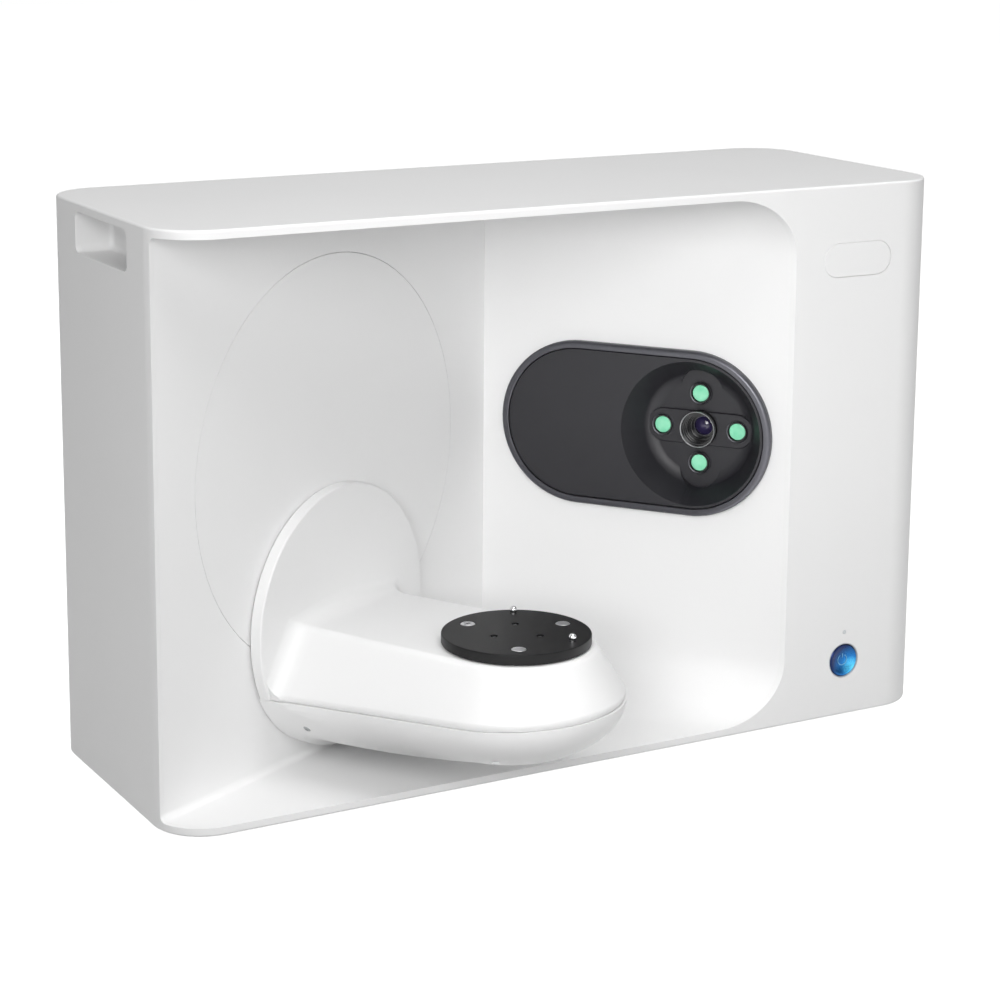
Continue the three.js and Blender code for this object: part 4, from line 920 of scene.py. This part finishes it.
tapped = round_the_table(0.0147, 36.5)
seats = round_the_table(0.0308, 96)
pin_holes = round_the_table(0.0345, -83.5, 2)
table = run_round(
    [(0, 0.005), (0.0028, 0.005), (0.0028, -0.008), (0.007, -0.008), (0.007, 0.005), (0.0412, 0.005)]
    + [(0.0418, 0.0053), (0.042, 0.0058), (0.042, 0.0102), (0.0418, 0.0107), (0.0413, 0.011), (0, 0.011)],
    0,
    56,
)
over_table = 0.02
drills = [moved(peg(0.0022, 0.0075, over_table), place) for place in tapped]
drills += [moved(peg(0.0045, 0.0082, over_table, 24), place) for place in seats]
drills += [moved(peg(0.0019, 0.008, over_table), place) for place in pin_holes]
table = worked(table, "DIFFERENCE", *drills)
keep_piece(moved(table, table_frame), "table_plate", "table", black_anodised, "black_plastic", "turntable")

# Locating pins, inserts and grub screws: stainless steel, pressed or screwed into the table.
# The ball-headed pins are polished, and the rest is turned, with a softer shine.
# The insert at the left is the head of the screw that clamps the table, with its cross recess.
polished_steel = worked_metal("polished_stainless_steel", "#ececee", "#dededf", 0.12, 0.002)
turned_steel = worked_metal("turned_stainless_steel", "#e4e4e6", "#d4d4d6", 0.34, 0.001)
ball_radius, ball_height = 0.0022, 0.0131
ball_turns = (-0.75, -0.4, 0, 0.4, 0.8, 1.2)
ball = [(ball_radius * math.cos(a), ball_height + ball_radius * math.sin(a)) for a in ball_turns]
for letter, place in zip("ba", pin_holes):
    pin = run_round([(0, 0.0083), (0.0016, 0.0083), (0.0016, 0.0116)] + ball + [(0, 0.0153)], 0, 14)
    moved(pin, table_frame @ place)
    keep_piece(pin, "ball_pin_" + letter, "table", polished_steel, "chrome", "locating_pin_" + letter)
for letter, place in zip("abc", seats):
    insert = run_round(
        [(0, 0.0085), (0.0042, 0.0085), (0.0042, 0.0107), (0.0039, 0.011), (0.0030, 0.0111), (0, 0.0112)],
        0,
        20,
    )
    if letter == "a":
        insert = worked(insert, "DIFFERENCE", *cross_recess(0.0028, 0.00045, 0.0096, over_table))
    moved(insert, table_frame @ place)
    keep_piece(insert, "steel_insert_" + letter, "table", turned_steel, "chrome", "table_insert_" + letter)
for i, place in enumerate(tapped):
    stopper = peg(0.0016, 0.0074, 0.0101, 12)
    moved(stopper, table_frame @ place)
    keep_piece(stopper, f"grub_screw_{i + 1}", "table", turned_steel, "steel")

# Camera pod rim: an extruded and machined aluminium frame, anodised dark grey, clamped through the wall.
# Its edge is rounded, and a fine groove parts it from the pod's face.
grey_anodised = worked_metal("grey_anodised_aluminium", "#626267", "#58585d", 0.36, 0.003)
pod_frame = to_world @ on_right_wall
rim_radius, rim_front, rim_round = 0.051, -0.005, 0.002
rim_curve = [
    (rim_radius - rim_round * (1 - math.cos(a)), rim_front + rim_round * (1 - math.sin(a)))
    for a in (0, 0.4, 0.8, 1.2, 1.57)
]
rim = run_round(
    [(0.0466, 0.014), (0.049, 0.014), (0.049, -0.0003), (rim_radius, -0.0003)]
    + rim_curve
    + [(0.0470, rim_front), (0.0466, -0.0046), (0.0466, 0.014)],
    pod_half,
    40,
)
keep_piece(moved(rim, pod_frame), "pod_frame", "housing", grey_anodised, "rim_metal", "pod_rim")

# Pod face: one moulding with the wide round dish, two upright pockets and the raised band across them.
# It is charcoal ABS with a satin grain, dark enough to keep stray light from the cameras.
charcoal = moulded("satin_charcoal_abs", "#1a191f", "#16151b", 0.5, 0.0005, 0.1, 0.03)
at_optics = Matrix.Translation((pod_half, 0, 0))
face_radius, face_front = 0.0463, -0.0042
dish_floor = 0.0158
pocket_half, band_half = 0.0245, 0.0235
camera_side, camera_rise = 0.024, 0.0217
face = run_round(
    [(0, face_front), (0.0459, face_front), (face_radius, -0.0038), (face_radius, -0.0017), (0, -0.0017)],
    pod_half,
    40,
)
backing = moved(peg(face_radius, -0.003, 0.0178, 40), at_optics)
dish = run_round(
    [(0, dish_floor), (0.033, dish_floor), (0.0445, face_front), (0.04565, -0.0062), (0, -0.0062)],
    0,
    48,
)


def round_dish_floor(edge):
    return all(abs(v.co.y - dish_floor) < hair and v.co.xz.length > 0.03 for v in edge.verts)


ease_edges(dish, 0.005, 6, 20, round_dish_floor)
pocket = peg(0.0129, 0.006, dish_floor, 24, pocket_half)
moved(pocket, at_optics @ Matrix.Rotation(math.pi / 2, 4, "Y"))
band = run_round(
    [(0, 0.0143), (0.0101, 0.0143), (0.0105, 0.0147), (0.0105, 0.0168), (0, 0.0168)],
    band_half,
    24,
)
camera_places = {
    "top": (0, camera_rise),
    "bottom": (0, -camera_rise),
    "left": (-camera_side, 0),
    "right": (camera_side, 0),
}
at_camera = {side: at_optics @ Matrix.Translation((x, 0, z)) for side, (x, z) in camera_places.items()}
face = worked(face, "UNION", backing)
face = worked(face, "DIFFERENCE", moved(dish, at_optics), pocket)
face = worked(face, "UNION", moved(band, at_optics))
camera_holes = [moved(peg(0.0065, 0.0, 0.03, 20), place) for place in at_camera.values()]
projector_hole = moved(peg(0.0112, 0.0, 0.03, 28), at_optics)
face = worked(face, "DIFFERENCE", *camera_holes, projector_hole)
ease_edges(face, 0.0003, 2, 35)
keep_piece(moved(face, pod_frame), "pod_front", "housing", charcoal, "dark_plastic", "pod_face")

# Cameras: four glossy black anodised barrels with a grey turned lip, each holding a green coated window.
# The coating's green reflection is painted in as a faint green glow of its own.
window_glass_painted_glow, tree = new_material("green_coated_window_glass")
place = add_node(tree, "ShaderNodeTexCoord").outputs["Object"]
coating = add_node(tree, "ShaderNodeTexNoise", {"Vector": place, "Scale": 160.0, "Detail": 2.0})
tint = add_node(
    tree,
    "ShaderNodeMix",
    {"Factor": coating.outputs["Fac"], "A": linear("#62cf9f"), "B": linear("#a4ecc9")},
    data_type="RGBA",
)
shader = add_node(
    tree,
    "ShaderNodeBsdfPrincipled",
    {
        "Base Color": tint.outputs["Result"],
        "Roughness": 0.08,
        "IOR": 1.52,
        # Painted glow: it stands for the coating's green reflection.
        "Emission Color": tint.outputs["Result"],
        "Emission Strength": 0.12,
    },
)
close_material(tree, shader)
gloss_black = moulded("black_anodised_barrel", "#141416", "#0f0f11", 0.25, 0.0004, 0.05, 0.01)
for side, place in at_camera.items():
    barrel = run_round(
        [(0, 0.0156), (0.0053, 0.0156), (0.0053, 0.0140), (0.0056, 0.0136), (0.0060, 0.0136)]
        + [(0.0062, 0.0138), (0.0062, 0.0380), (0, 0.0380)],
        0,
        24,
    )
    can = along_y((-0.010, 0.0373, -0.010), (0.010, 0.055, 0.010), 0.001, 3)
    barrel = moved(worked(barrel, "UNION", can), pod_frame @ place)
    keep_piece(barrel, side + "_camera", "housing", gloss_black, "black_plastic", "camera_" + side)
    window = run_round(
        [(0, 0.0137), (0.003, 0.0138), (0.0046, 0.0140), (0.005, 0.0143), (0.005, 0.0150), (0, 0.0150)],
        0,
        20,
    )
    moved(window, pod_frame @ place)
    keep_piece(window, side + "_window", "housing", window_glass_painted_glow, "green_glass", "camera_window_" + side)
    lip = run_round(
        [(0.0063, 0.0141), (0.0067, 0.0139), (0.0070, 0.0142), (0.0070, 0.0145), (0.0063, 0.0145)]
        + [(0.0063, 0.0141)],
        0,
        24,
    )
    moved(lip, pod_frame @ place)
    keep_piece(lip, side + "_lip", "housing", grey_anodised, "rim_metal")

# Projector: a thin nickel plated ring round a stepped black barrel, which is anodised and glossy.
# Its domed lens sits at the back, held by a grey retaining ring, and its coating looks dark purple.
optics_frame = pod_frame @ at_optics
ring = run_round(
    [(0.0106, 0.011), (0.0112, 0.011), (0.0112, 0.0093), (0.0110, 0.0090), (0.0108, 0.0090)]
    + [(0.0106, 0.0092), (0.0106, 0.011)],
    0,
    40,
)
keep_piece(moved(ring, optics_frame), "bright_ring", "housing", nickel, "chrome", "projector_ring")
barrel = run_round(
    [(0.0109, 0.055), (0.0109, 0.0113), (0.0094, 0.0113), (0.0094, 0.0130), (0.0090, 0.0132)]
    + [(0.0090, 0.0150), (0.0086, 0.0152), (0.0086, 0.0170), (0.0077, 0.0170), (0.0076, 0.0171)]
    + [(0.0076, 0.0190), (0.0072, 0.0192), (0.0072, 0.0210), (0.0063, 0.0210), (0.0062, 0.0211)]
    + [(0.0062, 0.0260), (0, 0.0260), (0, 0.055), (0.0109, 0.055)],
    0,
    40,
)
moved(barrel, optics_frame)
keep_piece(barrel, "lens_barrel", "housing", gloss_black, "black_plastic", "projector_barrel")
coated_glass = moulded("purple_coated_lens_glass", "#3a3258", "#221d3c", 0.05, 0.002, 0.01, 0.004)
lens = run_round(
    [(0, 0.0205), (0.0015, 0.0206), (0.003, 0.0209), (0.0045, 0.0216), (0.0055, 0.0223), (0.0059, 0.0228)]
    + [(0.0059, 0.0257), (0, 0.0257)],
    0,
    28,
)
keep_piece(moved(lens, optics_frame), "front_lens", "housing", coated_glass, "lens_glass", "projector_lens")
retainer = run_round(
    [(0.0057, 0.0222), (0.0059, 0.0212), (0.0062, 0.0212), (0.0062, 0.0236), (0.0057, 0.0236)]
    + [(0.0057, 0.0222)],
    0,
    32,
)
keep_piece(moved(retainer, optics_frame), "lens_retainer", "housing", grey_anodised, "rim_metal")

# Studio: a pale floor, and a white surround that only the camera sees.
# Soft lights stand at the left, in front and at the right, the largest and strongest hangs above,
# and a small narrow one lifts the bay's right wall.
white = (1, 1, 1, 1)
paper, tree = new_material("white_paper_floor")
shader = add_node(
    tree,
    "ShaderNodeBsdfPrincipled",
    {
        "Base Color": linear("#fbfbfb"),
        "Roughness": 0.9,
        "Emission Color": white,
        "Emission Strength": 0.8,
    },
)
close_material(tree, shader)
floor_shape = bmesh.new()
bmesh.ops.create_grid(floor_shape, x_segments=1, y_segments=1, size=7)
floor = put_up(floor_shape, "floor")
floor.data.materials.append(paper)
floor.visible_diffuse = False

glow, tree = new_material("white_surround")
close_material(tree, add_node(tree, "ShaderNodeEmission", {"Color": white, "Strength": 1.0}))
dome_shape = bmesh.new()
bmesh.ops.create_uvsphere(dome_shape, u_segments=32, v_segments=16, radius=9)
dome = put_up(dome_shape, "surround")
dome.data.materials.append(glow)
dome.visible_diffuse = False
dome.visible_glossy = False
dome.visible_transmission = False
dome.visible_shadow = False

world = bpy.data.worlds.new("studio")
bpy.context.scene.world = world
world.use_nodes = True
world.node_tree.nodes["Background"].inputs["Color"].default_value = white
world.node_tree.nodes["Background"].inputs["Strength"].default_value = 0.23
bpy.context.scene.view_settings.view_transform = "Standard"


def soft_light(name, place, target, size, power):
    """Square soft light that faces its target."""
    light = bpy.data.lights.new(name, "AREA")
    light.shape = "RECTANGLE"
    light.size = size
    light.size_y = size
    light.energy = power
    lamp = bpy.data.objects.new(name, light)
    bpy.context.scene.collection.objects.link(lamp)
    facing = (Vector(target) - Vector(place)).to_track_quat("-Z", "Y")
    lamp.matrix_world = Matrix.Translation(place) @ facing.to_matrix().to_4x4()
    return lamp


in_the_bay = (0.03, 0.03, 0.19)
soft_light("left_box", (-0.75, -0.9, 0.65), in_the_bay, 0.6, 7.1)
soft_light("near_box", (-0.15, -0.9, 0.45), in_the_bay, 0.4, 1.2)
soft_light("right_box", (0.6, -1.2, 0.6), in_the_bay, 0.8, 2.4)
soft_light("top_box", (0.1, -0.3, 1.9), in_the_bay, 1.4, 18.5)
wall_box = soft_light("wall_box", (-0.55, -0.75, 0.4), (0.14, -0.03, 0.19), 0.3, 0.12)
wall_box.data.spread = math.radians(38)
